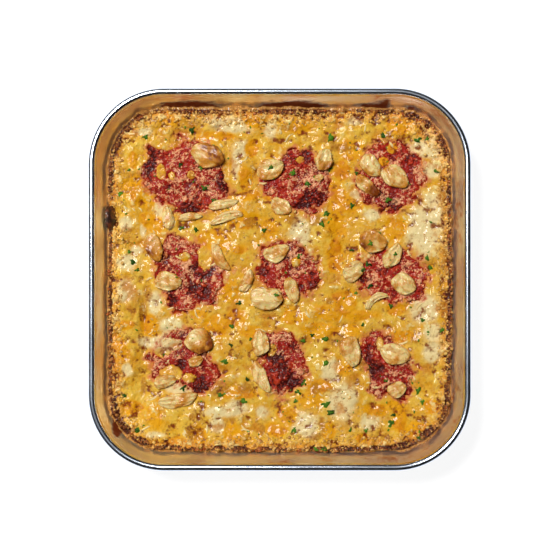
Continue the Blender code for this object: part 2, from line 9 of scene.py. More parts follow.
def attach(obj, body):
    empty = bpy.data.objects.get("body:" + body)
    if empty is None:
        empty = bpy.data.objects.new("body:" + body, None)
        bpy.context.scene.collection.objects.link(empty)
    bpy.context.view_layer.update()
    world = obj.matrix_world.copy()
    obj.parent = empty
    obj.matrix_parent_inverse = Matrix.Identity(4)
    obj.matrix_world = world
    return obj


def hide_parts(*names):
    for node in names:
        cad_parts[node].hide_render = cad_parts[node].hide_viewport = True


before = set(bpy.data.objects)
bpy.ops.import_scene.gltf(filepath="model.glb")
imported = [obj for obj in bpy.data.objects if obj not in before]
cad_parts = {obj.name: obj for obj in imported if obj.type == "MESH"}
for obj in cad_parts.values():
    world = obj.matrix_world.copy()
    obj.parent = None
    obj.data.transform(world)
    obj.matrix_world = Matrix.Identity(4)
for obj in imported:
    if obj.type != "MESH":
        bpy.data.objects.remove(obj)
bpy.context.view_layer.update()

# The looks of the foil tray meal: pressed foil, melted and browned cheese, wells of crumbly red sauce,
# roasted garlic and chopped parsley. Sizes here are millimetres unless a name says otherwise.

MM = 0.001

# The tray and the food level, as in the solids
TRAY_HALF = 103.0
TRAY_HEIGHT = 45.0
RIM_CORNER_RADIUS = 41.0
CORNER_MIDDLE = TRAY_HALF - RIM_CORNER_RADIUS
FOIL = 0.6
BEAD_RADIUS = 1.95
WALL_TAPER_DEG = 17.0
BASE_FILLET = 5.0
BEAD_END_DEG = -125.0
GAP = 0.35
FOOD_LEVEL = 31.0
EDGE_DROP = 2.2
EDGE_DROP_WIDTH = 10.0
CRUST_WIDTH = 12.0
CRUST_RELIEF = 2.0
CRUST_INSET = 2.9
CORNER_INSET = 1.7
FAR_SIDE_INSET = 1.7
RAGGED_EDGE = 2.0
SHOULDER_LEVEL = 24.3
GARLIC_SUNK = 0.42

# The photograph: its middle in pixels, and millimetres to a pixel at the rim and at the food
PHOTO_MIDDLE = (279.7, 279.5)
RIM_MM_PER_PIXEL = 0.5365
CAMERA_ABOVE_RIM = 1000.0
FOOD_MM_PER_PIXEL = RIM_MM_PER_PIXEL * (1 + (TRAY_HEIGHT - FOOD_LEVEL) / CAMERA_ABOVE_RIM)

# How finely the surfaces are drawn
BAKE_CELLS = 270
SAUCE_CELL = 0.5
GARLIC_AROUND = 44
GARLIC_ALONG = 26

# Soft folds of the pasta under the cheese: middle and half-widths in photo pixels, height in millimetres
FOLDS = (
    ((120, 205), (15, 30), 1.5), ((125, 312), (15, 36), 2.4), ((128, 364), (16, 18), 1.8),
    ((144, 315), (5, 32), -2.2), ((153, 207), (9, 24), -1.6), ((141, 385), (7, 24), -1.8),
    ((228, 122), (44, 12), 1.7), ((240, 163), (12, 28), 2.0), ((228, 172), (4, 24), -1.5),
    ((427, 158), (18, 22), 1.3), ((430, 232), (18, 40), 2.1), ((434, 316), (15, 34), 1.7),
    ((338, 182), (9, 30), -1.5), ((345, 238), (10, 26), -1.4), ((318, 326), (22, 9), -1.1),
    ((343, 396), (28, 26), 1.7), ((309, 431), (30, 13), 1.5), ((372, 431), (22, 12), 1.6),
    ((152, 414), (28, 17), 1.6), ((222, 412), (24, 20), 1.4), ((236, 240), (16, 22), 1.2),
    ((240, 345), (18, 26), 1.2),
)

# Red sauce: middle in photo pixels, and the reach of its outline every 30 degrees, from the right, then
# leftwards over the top
SAUCE = {
    "sauce_1": ((187, 174), (44, 38, 36, 35, 34, 44, 43, 39, 36, 40, 40, 47)),
    "sauce_2": ((297, 183), (32, 30, 32, 31, 30, 30, 35, 28, 25, 29, 32, 32)),
    "sauce_3": ((393, 178), (32, 31, 30, 35, 36, 34, 35, 33, 31, 33, 29, 30)),
    "sauce_4": ((190, 271), (36, 25, 25, 30, 38, 31, 33, 33, 38, 37, 36, 37)),
    "sauce_5": ((287, 272), (33, 30, 30, 31, 29, 31, 29, 26, 25, 24, 27, 33)),
    "sauce_6": ((393, 278), (34, 31, 28, 24, 32, 35, 33, 32, 27, 24, 25, 32)),
    "sauce_7": ((183, 360), (27, 22, 28, 31, 26, 31, 34, 31, 22, 20, 36, 40)),
    "sauce_8": ((283, 362), (22, 20, 23, 27, 31, 23, 20, 22, 29, 31, 30, 27)),
    "sauce_9": ((387, 366), (27, 25, 23, 33, 37, 30, 20, 22, 30, 30, 38, 31)),
}

# Garlic: middle in photo pixels, length and width in pixels, turn in degrees, thickness as a share of the
# width, taper towards the tip, bend of the spine, lean in degrees, and how roasted it looks from 0 to 1
GARLIC = {
    "garlic_01": ((208, 156), (35, 26), -8, 0.62, 0.15, 0.10, 4, 0.45),
    "garlic_02": ((270, 169), (29, 22), 12, 0.60, 0.20, 0.25, 6, 0.20),
    "garlic_03": ((324, 160), (25, 18), 76, 0.62, 0.25, 0.05, 0, 0.30),
    "garlic_04": ((319, 178), (10, 8), 20, 0.70, 0.10, 0.00, 0, 0.05),
    "garlic_05": ((371, 166), (26, 19), -58, 0.60, 0.25, 0.30, 5, 0.40),
    "garlic_06": ((368, 187), (31, 14), -38, 0.70, 0.30, 0.15, 0, 0.95),
    "garlic_07": ((395, 177), (31, 23), -40, 0.62, 0.20, 0.10, 4, 0.20),
    "garlic_08": ((223, 204), (33, 10), 8, 0.75, 0.25, 0.10, 0, 0.25),
    "garlic_09": ((228, 217), (38, 10), 17, 0.80, 0.30, -0.15, 0, 0.30),
    "garlic_10": ((190, 217), (27, 9), 5, 0.80, 0.20, -0.15, 0, 0.30),
    "garlic_11": ((168, 217), (25, 13), 96, 0.65, 0.30, 0.10, 0, 0.15),
    "garlic_12": ((281, 206), (24, 17), -30, 0.60, 0.20, 0.10, 3, 0.20),
    "garlic_13": ((154, 247), (31, 18), -72, 0.62, 0.15, 0.15, 0, 0.50),
    "garlic_14": ((220, 257), (34, 12), -62, 0.75, 0.25, 0.35, 4, 0.25),
    "garlic_15": ((277, 253), (27, 18), 22, 0.60, 0.30, 0.10, 0, 0.20),
    "garlic_16": ((373, 241), (28, 24), -20, 0.62, 0.10, 0.05, 0, 0.60),
    "garlic_17": ((392, 256), (29, 17), 56, 0.62, 0.20, 0.10, 5, 0.20),
    "garlic_18": ((353, 271), (25, 20), 35, 0.55, 0.15, 0.05, 0, 0.25),
    "garlic_19": ((404, 284), (27, 22), -40, 0.60, 0.20, 0.10, 4, 0.15),
    "garlic_20": ((168, 281), (28, 20), -10, 0.60, 0.15, 0.05, 0, 0.15),
    "garlic_21": ((247, 281), (24, 12), 66, 0.55, 0.25, 0.20, 0, 0.25),
    "garlic_22": ((266, 298), (36, 24), 0, 0.60, 0.10, 0.05, 2, 0.10),
    "garlic_23": ((292, 290), (27, 15), -76, 0.65, 0.25, 0.10, 0, 0.40),
    "garlic_24": ((375, 300), (29, 9), 36, 0.85, 0.10, -0.55, 0, 0.05),
    "garlic_25": ((199, 341), (30, 27), -15, 0.62, 0.05, 0.00, 0, 0.75),
    "garlic_26": ((196, 361), (16, 11), 22, 0.65, 0.20, 0.10, 0, 0.10),
    "garlic_27": ((260, 343), (28, 19), 95, 0.60, 0.25, 0.05, 0, 0.15),
    "garlic_28": ((261, 377), (35, 14), -64, 0.70, 0.20, 0.10, 5, 0.20),
    "garlic_29": ((351, 352), (33, 21), -76, 0.62, 0.15, 0.15, 0, 0.45),
    "garlic_30": ((394, 354), (32, 23), -14, 0.60, 0.20, 0.10, 4, 0.20),
    "garlic_31": ((397, 389), (20, 17), 30, 0.60, 0.15, 0.05, 0, 0.20),
    "garlic_32": ((165, 381), (24, 14), 10, 0.65, 0.25, 0.10, 0, 0.35),
    "garlic_33": ((179, 400), (42, 15), 11, 0.65, 0.20, 0.05, 0, 0.10),
}

# Orange cheddar pools: middle and half-sizes in photo pixels
CHEDDAR = (
    (170, 118, 11, 9), (217, 137, 17, 5), (254, 119, 11, 8), (300, 127, 12, 7), (252, 147, 7, 9),
    (350, 150, 12, 10), (340, 172, 9, 11), (246, 180, 7, 14), (250, 195, 12, 6), (133, 160, 5, 8),
    (135, 187, 12, 10), (143, 197, 14, 12), (154, 225, 8, 8), (400, 125, 14, 10), (393, 148, 5, 5),
    (384, 161, 5, 5), (334, 190, 7, 12), (345, 205, 16, 9), (338, 225, 12, 14), (335, 255, 8, 16),
    (395, 228, 10, 12), (240, 218, 18, 8), (270, 228, 8, 10), (215, 240, 18, 10), (240, 250, 8, 5),
    (230, 290, 8, 10), (127, 325, 8, 5), (150, 325, 10, 11), (200, 315, 8, 5), (215, 325, 14, 10),
    (235, 318, 12, 8), (310, 275, 5, 7), (345, 300, 14, 10), (330, 312, 15, 8), (320, 330, 18, 8),
    (295, 318, 16, 5), (360, 315, 16, 5), (352, 330, 8, 5), (396, 310, 9, 7), (402, 336, 16, 6),
    (118, 350, 9, 15), (112, 365, 6, 12), (345, 370, 8, 6), (240, 393, 18, 6), (317, 385, 13, 6),
    (310, 400, 12, 8), (133, 407, 10, 8), (155, 415, 8, 12), (287, 415, 10, 10), (275, 430, 12, 8),
    (232, 435, 8, 10), (200, 435, 6, 9), (175, 443, 8, 5), (330, 430, 6, 8), (363, 438, 8, 4),
    (377, 410, 14, 6), (400, 420, 8, 14), (415, 430, 12, 8), (432, 406, 8, 7), (395, 405, 9, 5),
    (250, 331, 12, 6), (244, 220, 11, 9), (148, 220, 8, 8), (340, 196, 9, 8), (292, 316, 10, 8), (268, 196, 6, 5),
)

# Pale mozzarella, melted smooth: middle and half-sizes in photo pixels
PALE = (
    (210, 119, 8, 4), (233, 125, 20, 8), (270, 128, 6, 8), (355, 120, 6, 5), (145, 132, 6, 3),
    (236, 165, 4, 13), (160, 208, 6, 9), (126, 224, 6, 6), (143, 228, 3, 9), (125, 262, 10, 7),
    (137, 250, 5, 4), (125, 290, 9, 11), (155, 303, 6, 12), (170, 325, 12, 7), (155, 342, 16, 6),
    (127, 370, 5, 7), (155, 435, 9, 3), (220, 412, 16, 5), (217, 425, 7, 7), (262, 412, 5, 5),
    (300, 232, 9, 14), (372, 215, 8, 5), (425, 228, 18, 25), (433, 210, 10, 18), (430, 150, 22, 8),
    (432, 170, 8, 8), (425, 308, 12, 14), (432, 332, 8, 8), (433, 352, 9, 10), (355, 198, 6, 8),
    (342, 400, 14, 16), (305, 425, 12, 12), (370, 421, 9, 8), (180, 388, 14, 6), (330, 372, 8, 12),
    (236, 408, 12, 7), (437, 127, 13, 12), (438, 148, 11, 13), (172, 340, 14, 11), (437, 437, 9, 9),
    (268, 172, 8, 6), (244, 148, 8, 8),
)

# Browner places away from the crust, partly browned cheese and partly painted shade along low lines between folds:
# middle and half-sizes in photo pixels
BROWN_AND_SHADE = (
    (143, 312, 4, 14), (425, 265, 9, 4), (193, 417, 4, 4), (126, 230, 7, 4), (447, 310, 7, 12),
    (329, 300, 5, 5), (144, 385, 4, 10), (121, 385, 8, 5), (333, 390, 10, 3), (250, 222, 7, 6),
    (290, 128, 12, 5), (330, 140, 12, 5), (222, 385, 8, 4), (193, 432, 10, 8), (322, 425, 4, 9),
    (262, 430, 4, 9), (330, 340, 5, 6), (210, 300, 10, 3), (300, 248, 10, 3), (310, 296, 8, 3),
    (443, 195, 5, 14), (447, 250, 5, 24), (118, 150, 6, 10), (415, 340, 7, 4), (232, 420, 4, 5),
    (220, 388, 13, 9), (220, 268, 9, 11), (340, 148, 11, 6), (340, 340, 8, 9), (364, 364, 6, 9),
    (148, 292, 6, 11), (244, 388, 9, 6), (220, 196, 10, 5), (316, 220, 10, 6), (316, 388, 7, 7),
    (268, 388, 5, 10), (316, 436, 8, 6), (292, 220, 8, 5),
)

# Cheese that has run over the sauce: middle and half-sizes in photo pixels, height above the sauce
COVERS = (
    (161, 172, 5, 9), (172, 176, 4, 5), (191, 175, 4, 5), (165, 143, 14, 7), (228, 165, 6, 18),
    (172, 345, 12, 7), (163, 352, 9, 6), (171, 373, 12, 8), (190, 378, 8, 5), (205, 259, 7, 13),
    (184, 257, 6, 5), (393, 149, 6, 5), (384, 162, 6, 5), (300, 160, 5, 4), (360, 215, 6, 6),
    (296, 262, 5, 6), (380, 345, 4, 8), (272, 350, 5, 6),
)

# Places where the sauce is painted darker: middle and half-sizes in photo pixels
DARKER_SAUCE = (
    (224, 182, 7, 12), (190, 207, 14, 6), (150, 160, 6, 12), (312, 196, 12, 8), (300, 205, 12, 4),
    (305, 157, 6, 8), (262, 188, 8, 5), (412, 160, 7, 6), (388, 208, 12, 3), (203, 268, 10, 12),
    (200, 292, 14, 10), (172, 300, 8, 6), (315, 282, 8, 12), (262, 268, 7, 10), (383, 272, 6, 6),
    (200, 385, 10, 9), (180, 365, 7, 6), (280, 372, 12, 16), (272, 355, 5, 10), (295, 385, 8, 8),
    (370, 355, 6, 14), (378, 370, 8, 10), (404, 386, 4, 10), (370, 160, 5, 4),
)

# Sauce baked on to the wall above the food: middle and half-sizes in photo pixels, strength
STAINS = (
    (190, 107, 34, 7, 0.9), (290, 109, 46, 8, 1.0), (367, 108, 8, 6, 0.8), (384, 106, 7, 7, 1.0),
    (411, 112, 8, 7, 0.9), (127, 132, 8, 10, 0.8), (107, 215, 4, 24, 0.6), (107, 340, 4, 60, 0.55),
    (118, 415, 9, 26, 0.9), (140, 440, 18, 7, 0.7), (395, 448, 40, 6, 0.45), (450, 345, 4, 14, 0.6),
    (447, 385, 5, 14, 0.6), (452, 205, 4, 34, 0.3),
)

# Dark red-brown sauce that has boiled up along the crust's edge: middle and half-sizes in photo pixels
EDGE_SAUCE = (
    (124, 125, 8, 8), (116, 142, 6, 14), (136, 117, 9, 4), (111, 172, 4, 22), (109, 245, 3, 24),
    (109, 318, 5, 32), (109, 372, 3, 24), (115, 410, 5, 16), (125, 428, 7, 9), (140, 441, 11, 5),
    (165, 449, 14, 4), (190, 452, 14, 4), (218, 450, 6, 6),
    (240, 448, 7, 6), (270, 450, 14, 3), (345, 449, 28, 4), (395, 446, 26, 6), (430, 432, 10, 7),
    (451, 300, 4, 30), (448, 350, 3, 36), (446, 400, 4, 20), (450, 250, 3, 25), (449, 200, 2, 20),
    (433, 122, 9, 6), (446, 143, 5, 14), (203, 110, 26, 4), (290, 111, 40, 3), (384, 110, 7, 6),
    (414, 114, 8, 6),
)

# Burnt sauce stuck between the crust and the wall: middle and half-sizes in photo pixels
BURNT_MIDDLE = (111.5, 217)
BURNT_HALF = (4.9, 12)

# Parsley: middle in photo pixels, length in millimetres and turn in degrees
LEAVES = (
    (145, 137, 4.0, 20), (192, 130, 4.8, 80), (330, 138, 5.2, 60), (383, 135, 4.8, -60),
    (418, 140, 4.6, 10), (427, 139, 3.6, 50), (436, 171, 3.4, -40), (120, 194, 3.6, 30),
    (129, 252, 3.4, 80), (133, 262, 4.2, -30), (137, 270, 3.0, 10), (352, 206, 4.0, 80),
    (326, 214, 4.6, 30), (322, 224, 4.2, -50), (427, 258, 4.0, 70), (430, 268, 3.8, -60),
    (239, 303, 3.6, 20), (232, 327, 4.0, -70), (225, 361, 4.8, 15), (325, 339, 4.6, 10),
    (303, 341, 3.6, -20), (423, 320, 3.6, -20), (442, 330, 3.8, 40), (326, 363, 4.2, 60),
    (124, 396, 4.0, 10), (138, 430, 4.4, -50), (220, 395, 4.2, -5), (244, 401, 4.6, -15),
    (326, 404, 5.2, 15), (330, 412, 5.2, -10), (294, 430, 4.0, 60), (391, 423, 4.8, 50),
    (418, 391, 4.6, 75), (350, 430, 3.4, 70), (204, 188, 4.2, -20), (180, 165, 3.4, 60),
    (293, 172, 4.2, 40), (308, 184, 4.6, -30), (388, 200, 4.0, 30), (369, 366, 4.8, 60),
    (370, 244, 3.6, 30), (271, 167, 3.6, 70), (201, 168, 4.0, 30), (207, 187, 3.4, 60),
    (214, 200, 4.0, 10), (181, 228, 3.4, 20), (196, 230, 3.6, -60), (264, 230, 3.6, 30),
    (291, 174, 3.4, 0), (330, 169, 3.2, 40), (356, 173, 3.0, -50), (299, 256, 3.6, 60),
    (368, 264, 4.4, -30), (362, 270, 3.6, 20), (395, 254, 3.0, 60), (370, 286, 3.4, 40),
    (391, 306, 3.8, -40), (312, 335, 3.0, 10), (304, 383, 4.0, 70), (298, 392, 4.0, -30),
    (183, 388, 4.0, 40), (296, 401, 3.2, 0), (386, 380, 3.6, 70), (422, 402, 3.2, 80),
    (247, 379, 3.2, -40), (393, 415, 3.2, 10), (366, 430, 3.2, 60), (419, 438, 3.4, -30),
    (198, 452, 3.2, 80), (317, 450, 4.2, 10), (325, 451, 3.6, -40), (350, 455, 3.0, 10),
    (276, 295, 2.8, 10), (231, 345, 3.0, -50), (251, 339, 3.0, 20), (363, 325, 3.0, 80),
    (129, 170, 2.6, 30), (356, 293, 2.6, 10), (307, 183, 3.0, 70), (352, 250, 2.6, -20),
)


def place(across, down):
    """A photo pixel as x and y in millimetres at the level of the food."""
    x = (across - PHOTO_MIDDLE[0]) * FOOD_MM_PER_PIXEL
    y = (PHOTO_MIDDLE[1] - down) * FOOD_MM_PER_PIXEL
    return x, y


def smooth(value, low=0.0, high=1.0):
    """0 below low, 1 above high and an even S between them: t squared times (3 - 2 t)."""
    share = np.clip((value - low) / (high - low), 0, 1)
    return share * share * (3 - 2 * share)


def ray_to_outline(turn, half, radius):
    """The distance from the middle to a square with rounded corners, in the directions turn, in radians."""
    along = np.maximum(np.abs(np.cos(turn)), np.abs(np.sin(turn)))
    across = np.minimum(np.abs(np.cos(turn)), np.abs(np.sin(turn)))
    flat = half / along
    corner = half - radius
    both = corner * (along + across)
    arc = both + np.sqrt(np.maximum(both**2 - 2 * corner**2 + radius**2, 0))
    return np.where(flat * across <= corner, flat, arc)


def inside_outline(x, y, half, radius):
    """How far each point lies inside a square with rounded corners."""
    over_x = np.abs(x) - (half - radius)
    over_y = np.abs(y) - (half - radius)
    beyond = np.hypot(np.maximum(over_x, 0), np.maximum(over_y, 0))
    return radius - beyond - np.minimum(np.maximum(over_x, over_y), 0)


def soft_noise(x, y, size, seed):
    """Smooth noise from 0 to 1: seeded values on a lattice of the given size, blended between its points."""
    values = np.random.default_rng(seed).random((64, 64))
    column = x / size + 32
    row = y / size + 32
    left = np.floor(column).astype(int)
    below = np.floor(row).astype(int)
    along = smooth(column - left)
    up = smooth(row - below)
    left, right = left % 64, (left + 1) % 64
    below, above = below % 64, (below + 1) % 64
    lower = values[below, left] * (1 - along) + values[below, right] * along
    upper = values[above, left] * (1 - along) + values[above, right] * along
    return lower * (1 - up) + upper * up


def cloud(x, y, size, seed, layers=3):
    """Noise with finer and fainter layers: each halves the size and keeps 0.6 of the strength."""
    total = 0.0
    strength = 1.0
    whole = 0.0
    for layer in range(layers):
        total = total + strength * soft_noise(x, y, size / 2**layer, seed + layer)
        whole += strength
        strength *= 0.6
    return total / whole


def grains(x, y, size, seed):
    """Packed rounded grains: a dome from 0 at a grain's border to 1 in its middle, and a value for each grain.

    Each lattice cell holds one seeded point. The dome is how much nearer the nearest point is than the next.
    """
    seeds = np.random.default_rng(seed).random((128, 128, 3))
    across = x / size
    up = y / size
    column = np.floor(across).astype(int)
    row = np.floor(up).astype(int)
    nearest = np.full(np.shape(across), 9.0)
    second = np.full(np.shape(across), 9.0)
    value = np.zeros(np.shape(across))
    for step_x in (-1, 0, 1):
        for step_y in (-1, 0, 1):
            seed_here = seeds[(row + step_y) % 128, (column + step_x) % 128]
            away = np.hypot(column + step_x + seed_here[..., 0] - across, row + step_y + seed_here[..., 1] - up)
            closer = away < nearest
            second = np.where(closer, nearest, np.minimum(second, away))
            value = np.where(closer, seed_here[..., 2], value)
            nearest = np.where(closer, away, nearest)
    edge = np.clip((second - nearest) / 0.7, 0, 1)
    return 1 - (1 - edge) ** 2, value


def pools(x, y, spots):
    """Ovals with soft edges: 1 / (1 + d to the 4th), d being 1 on an oval's outline. The strongest one counts."""
    strongest = np.zeros(np.shape(x))
    for spot in spots:
        middle_x, middle_y = place(spot[0], spot[1])
        across = (x - middle_x) / (spot[2] * FOOD_MM_PER_PIXEL)
        up = (y - middle_y) / (spot[3] * FOOD_MM_PER_PIXEL)
        strength = spot[4] if len(spot) > 4 else 1.0
        strongest = np.maximum(strongest, strength / (1 + np.hypot(across, up) ** 4))
    return strongest


def wall_inset(height):
    """How far the inner face of the wall lies inside the tray's outer edge, at a height."""
    bead_middle = TRAY_HEIGHT - BEAD_RADIUS
    return 2 * BEAD_RADIUS + (bead_middle - height) * math.tan(math.radians(WALL_TAPER_DEG))


def room_to_wall(x, y, height):
    """How far a point lies from the inner face of the wall, level with it."""
    inset = wall_inset(height)
    return inside_outline(x, y, TRAY_HALF - inset, RIM_CORNER_RADIUS - inset)


def crust_inset(turn):
    """How far the crust's edge has shrunk from the wall: most at the corners and the far side, ragged all round."""
    corner = np.sin(2 * turn) ** 6
    far_side = np.clip((np.sin(turn) - 0.7) / 0.2, 0, 1)
    ragged = RAGGED_EDGE * (soft_noise(60 * np.cos(turn), 60 * np.sin(turn), 3.6, 6) - 0.5)
    return CRUST_INSET + CORNER_INSET * corner + FAR_SIDE_INSET * far_side + ragged


def food_height(x, y):
    """The top of the bake as in the solids: a level, soft folds, a drop at the wall and the crust's crags."""
    height = FOOD_LEVEL + 0.9 * (soft_noise(x, y, 13, 3) - 0.5) + 0.7 * (soft_noise(x, y, 6, 4) - 0.5)
    for middle, reach, rise in FOLDS:
        middle_x, middle_y = place(*middle)
        across = (x - middle_x) / (reach[0] * FOOD_MM_PER_PIXEL)
        up = (y - middle_y) / (reach[1] * FOOD_MM_PER_PIXEL)
        height = height + rise * np.exp(-(across**2) - up**2)
    inset = wall_inset(FOOD_LEVEL)
    inside = inside_outline(x, y, TRAY_HALF - inset, RIM_CORNER_RADIUS - inset)
    near_wall = np.clip(1 - inside / EDGE_DROP_WIDTH, 0, 1)
    in_crust = np.clip(1 - inside / CRUST_WIDTH, 0, 1)
    crags = CRUST_RELIEF * (soft_noise(x, y, 3.1, 5) - 0.45) * np.sqrt(in_crust)
    return height - EDGE_DROP * near_wall**2 + crags


def sauce_reach(radii, turn):
    """The reach of a patch's outline in millimetres: its radii blended smoothly all the way round."""
    count = len(radii)
    spot = np.mod(turn / (2 * math.pi) * count, count)
    before = np.floor(spot).astype(int) % count
    share = smooth(spot - np.floor(spot))
    table = np.array(radii, float)
    return (table[before] * (1 - share) + table[(before + 1) % count] * share) * FOOD_MM_PER_PIXEL


def sauce_margin(x, y):
    """How far inside the open sauce a point lies, in millimetres: inside a patch's outline, frayed by two noises,
    and not where cheese has run over it."""
    inside = np.full(np.shape(x), -20.0)
    for middle, radii in SAUCE.values():
        middle_x, middle_y = place(*middle)
        away = np.hypot(x - middle_x, y - middle_y)
        reach = sauce_reach(radii, np.arctan2(y - middle_y, x - middle_x))
        inside = np.maximum(inside, reach - away)
    frayed = inside + 9.0 * (cloud(x, y, 6.0, 51) - 0.5) + 2.4 * (grains(x, y, 1.9, 52)[1] - 0.5)
    covered = smooth(pools(x, y, COVERS) + 0.6 * (cloud(x, y, 3.0, 57) - 0.5), 0.3, 0.6)
    return frayed * (1 - covered) - 3.0 * covered


def sauce_shows(x, y):
    """From 0 under the cheese to 1 where the sauce lies open."""
    return smooth(sauce_margin(x, y), -0.5, 0.9)


def bake_surface(x, y):
    """The cheese as drawn: the solids' top with lumps, grains that are coarsest in the crust, sunk under open
    sauce and raised in a lip round it. Returns heights and the masks that colour it."""
    inset = wall_inset(FOOD_LEVEL)
    turn = np.arctan2(y, x)
    inside = inside_outline(x, y, TRAY_HALF - inset, RIM_CORNER_RADIUS - inset) - crust_inset(turn)
    crust = np.exp(-((np.maximum(inside, 0) / (3.0 + 6.0 * cloud(x, y, 11, 41))) ** 2))
    pale = smooth(pools(x, y, PALE) + 0.7 * (cloud(x, y, 5.0, 61, 4) - 0.5), 0.05, 0.9)
    cheddar = smooth(pools(x, y, CHEDDAR) + 0.8 * (cloud(x, y, 5.0, 65, 4) - 0.5), 0.05, 0.85)
    brown = smooth(pools(x, y, BROWN_AND_SHADE) + 0.9 * (cloud(x, y, 3.0, 71) - 0.5), 0.2, 0.95)
    toasted = smooth(cloud(x, y, 13, 75), 0.46, 0.66)
    rough = np.clip(0.16 + 0.4 * toasted + 0.9 * crust - 0.25 * pale - 0.1 * cheddar, 0.05, 1.2)
    warp_x = x + 1.4 * (cloud(x, y, 3.0, 81) - 0.5)
    warp_y = y + 1.4 * (cloud(x, y, 3.0, 85) - 0.5)
    coarse, coarse_value = grains(warp_x, warp_y, 2.3, 21)
    fine, fine_value = grains(warp_x, warp_y, 1.25, 22)
    folds = cloud(x, y, 8.0, 91, 4) - 0.5
    knobs = 1.8 * (cloud(x, y, 4.2, 95, 3) - 0.5)
    lumps = 2.2 * folds + knobs
    crags = crust * (cloud(warp_x, warp_y, 2.6, 97, 4) - 0.5)
    relief = rough * (0.35 - 0.1 * crust) * coarse * (0.5 + coarse_value) + 3.4 * crags
    relief = relief + rough * (0.18 + 0.1 * crust) * fine * (0.4 + fine_value)
    shows = sauce_shows(x, y)
    lip = 0.7 * np.exp(-(((shows - 0.15) / 0.25) ** 2)) * (shows > 0.01)
    notch = pools(x, y, [(*BURNT_MIDDLE, *BURNT_HALF)])
    height = food_height(x, y) - 0.25 + lumps + relief - 3.0 * shows + lip - 3.5 * notch
    grain = np.clip(0.55 * coarse * (0.5 + 0.5 * coarse_value) + 0.45 * fine * (0.5 + 0.5 * fine_value), 0, 1)
    masks = {"pale": pale, "cheddar": cheddar, "brown": brown, "crust": crust, "sauce": shows}
    masks["grain"] = 1 - (1 - grain) * np.clip(rough * 1.3, 0, 1 - 0.5 * crust)
    masks["toasted"] = 0.8 * toasted
    # Painted shade: the crust's low crags and grains, to be darkened brown.
    masks["crag_shade"] = smooth(-crags + 0.12 * crust * (0.6 - grain), 0.03, 0.16)
    # Painted highlight: the tops of the knobs and grains, to be lightened to near-white cream.
    masks["peak_highlight"] = smooth(knobs + 0.7 * (relief - 0.3 * rough), 0.05, 0.75)
    # Painted shade: the low ground of the knobs and grains, to be darkened.
    masks["cavity_shade"] = smooth(-knobs - 0.5 * (relief - 0.2 * rough), 0.0, 0.6)
    # The folds' low ground in darker orange: partly oily cheese pooled there and partly painted shade.
    masks["valley"] = 0.8 * smooth(-folds, 0.0, 0.26)
    masks["pink"] = smooth(sauce_margin(x, y), -5.5, 0.5)
    return height, masks


def sauce_surface(x, y):
    """The sauce: the bake's top, a little sunk, covered in coarse and fine crumbs. It dives under the cheese."""
    shows = sauce_shows(x, y)
    warp_x = x + 1.6 * (cloud(x, y, 2.4, 37) - 0.5)
    warp_y = y + 1.6 * (cloud(x, y, 2.4, 39) - 0.5)
    coarse, value = grains(warp_x, warp_y, 2.6, 31)
    fine, fine_value = grains(warp_x, warp_y, 1.2, 32)
    mounds = cloud(x, y, 6.0, 33) - 0.5
    crumbs = 1.4 * coarse * value + 0.6 * fine * (0.3 + fine_value)
    height = food_height(x, y) - 0.8 + crumbs + 2.6 * mounds - 1.7 * (1 - shows)
    # Painted shade: the grain mask is low in the gaps between crumbs, on low mounds and at the listed darker places,
    # and the material darkens it there.
    darker_spots = smooth(pools(x, y, DARKER_SAUCE), 0.2, 0.8)
    deep = np.clip(0.36 + 0.55 * coarse * value + 0.4 * fine * fine_value + 1.4 * mounds - 0.45 * darker_spots, 0, 1)
    dusty = 0.7 * cloud(x, y, 7.0, 36) + 0.35 * fine_value + 0.3 * fine + 0.3 * (value - 0.5) - 0.3 * darker_spots
    dust = smooth(dusty, 0.6, 0.8)
    return height, {"grain": deep, "tone": 0.5 * value + 0.5 * fine_value, "dust": dust}


def grid_faces(rows, columns, around=False):
    """Four-cornered faces between the rows of a grid, whose columns join up if it goes all the way round."""
    number = np.arange(rows * columns).reshape(rows, columns)
    if around:
        number = np.hstack([number, number[:, :1]])
    corners = [number[:-1, :-1], number[:-1, 1:], number[1:, 1:], number[1:, :-1]]
    return np.stack(corners, axis=-1).reshape(-1, 4)


def fan(ring, middle):
    """Triangles from a ring of point numbers to one point."""
    return np.column_stack([ring, np.roll(ring, -1), np.full(len(ring), middle)])


def outward(points, groups):
    """The faces turned round if they enclose a negative volume, so that every normal looks outwards."""
    volume = 0.0
    for group in groups:
        for step in range(1, group.shape[1] - 1):
            first, second, third = points[group[:, 0]], points[group[:, step]], points[group[:, step + 1]]
            volume += np.einsum("ij,ij->i", first, np.cross(second, third)).sum()
    return groups if volume > 0 else [group[:, ::-1] for group in groups]


def piece(name, points, groups, material, masks=None, stands_for=(), crumbs=False):
    """A mesh object that rides on the part, from points in millimetres, groups of faces and named masks. Crumbs
    come with their faces already turned outwards, and keep their flat facets."""
    points = np.asarray(points, float)
    if not crumbs:
        groups = outward(points, groups)
    corners = np.concatenate([group.ravel() for group in groups])
    sides = np.concatenate([np.full(len(group), group.shape[1]) for group in groups])
    starts = np.concatenate([[0], np.cumsum(sides)[:-1]])
    mesh = bpy.data.meshes.new(name)
    mesh.vertices.add(len(points))
    mesh.vertices.foreach_set("co", (points * MM).ravel())
    mesh.loops.add(len(corners))
    mesh.loops.foreach_set("vertex_index", corners)
    mesh.polygons.add(len(sides))
    mesh.polygons.foreach_set("loop_start", starts)
    mesh.polygons.foreach_set("loop_total", sides)
    mesh.update(calc_edges=True)
    for label, values in (masks or {}).items():
        mesh.attributes.new(label, "FLOAT", "POINT").data.foreach_set("value", np.asarray(values, float).ravel())
    if not crumbs:
        mesh.shade_smooth()
    mesh.materials.append(material)
    made = bpy.data.objects.new(name, mesh)
    bpy.context.scene.collection.objects.link(made)
    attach(made, "root")
    if stands_for:
        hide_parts(*stands_for)
    return made


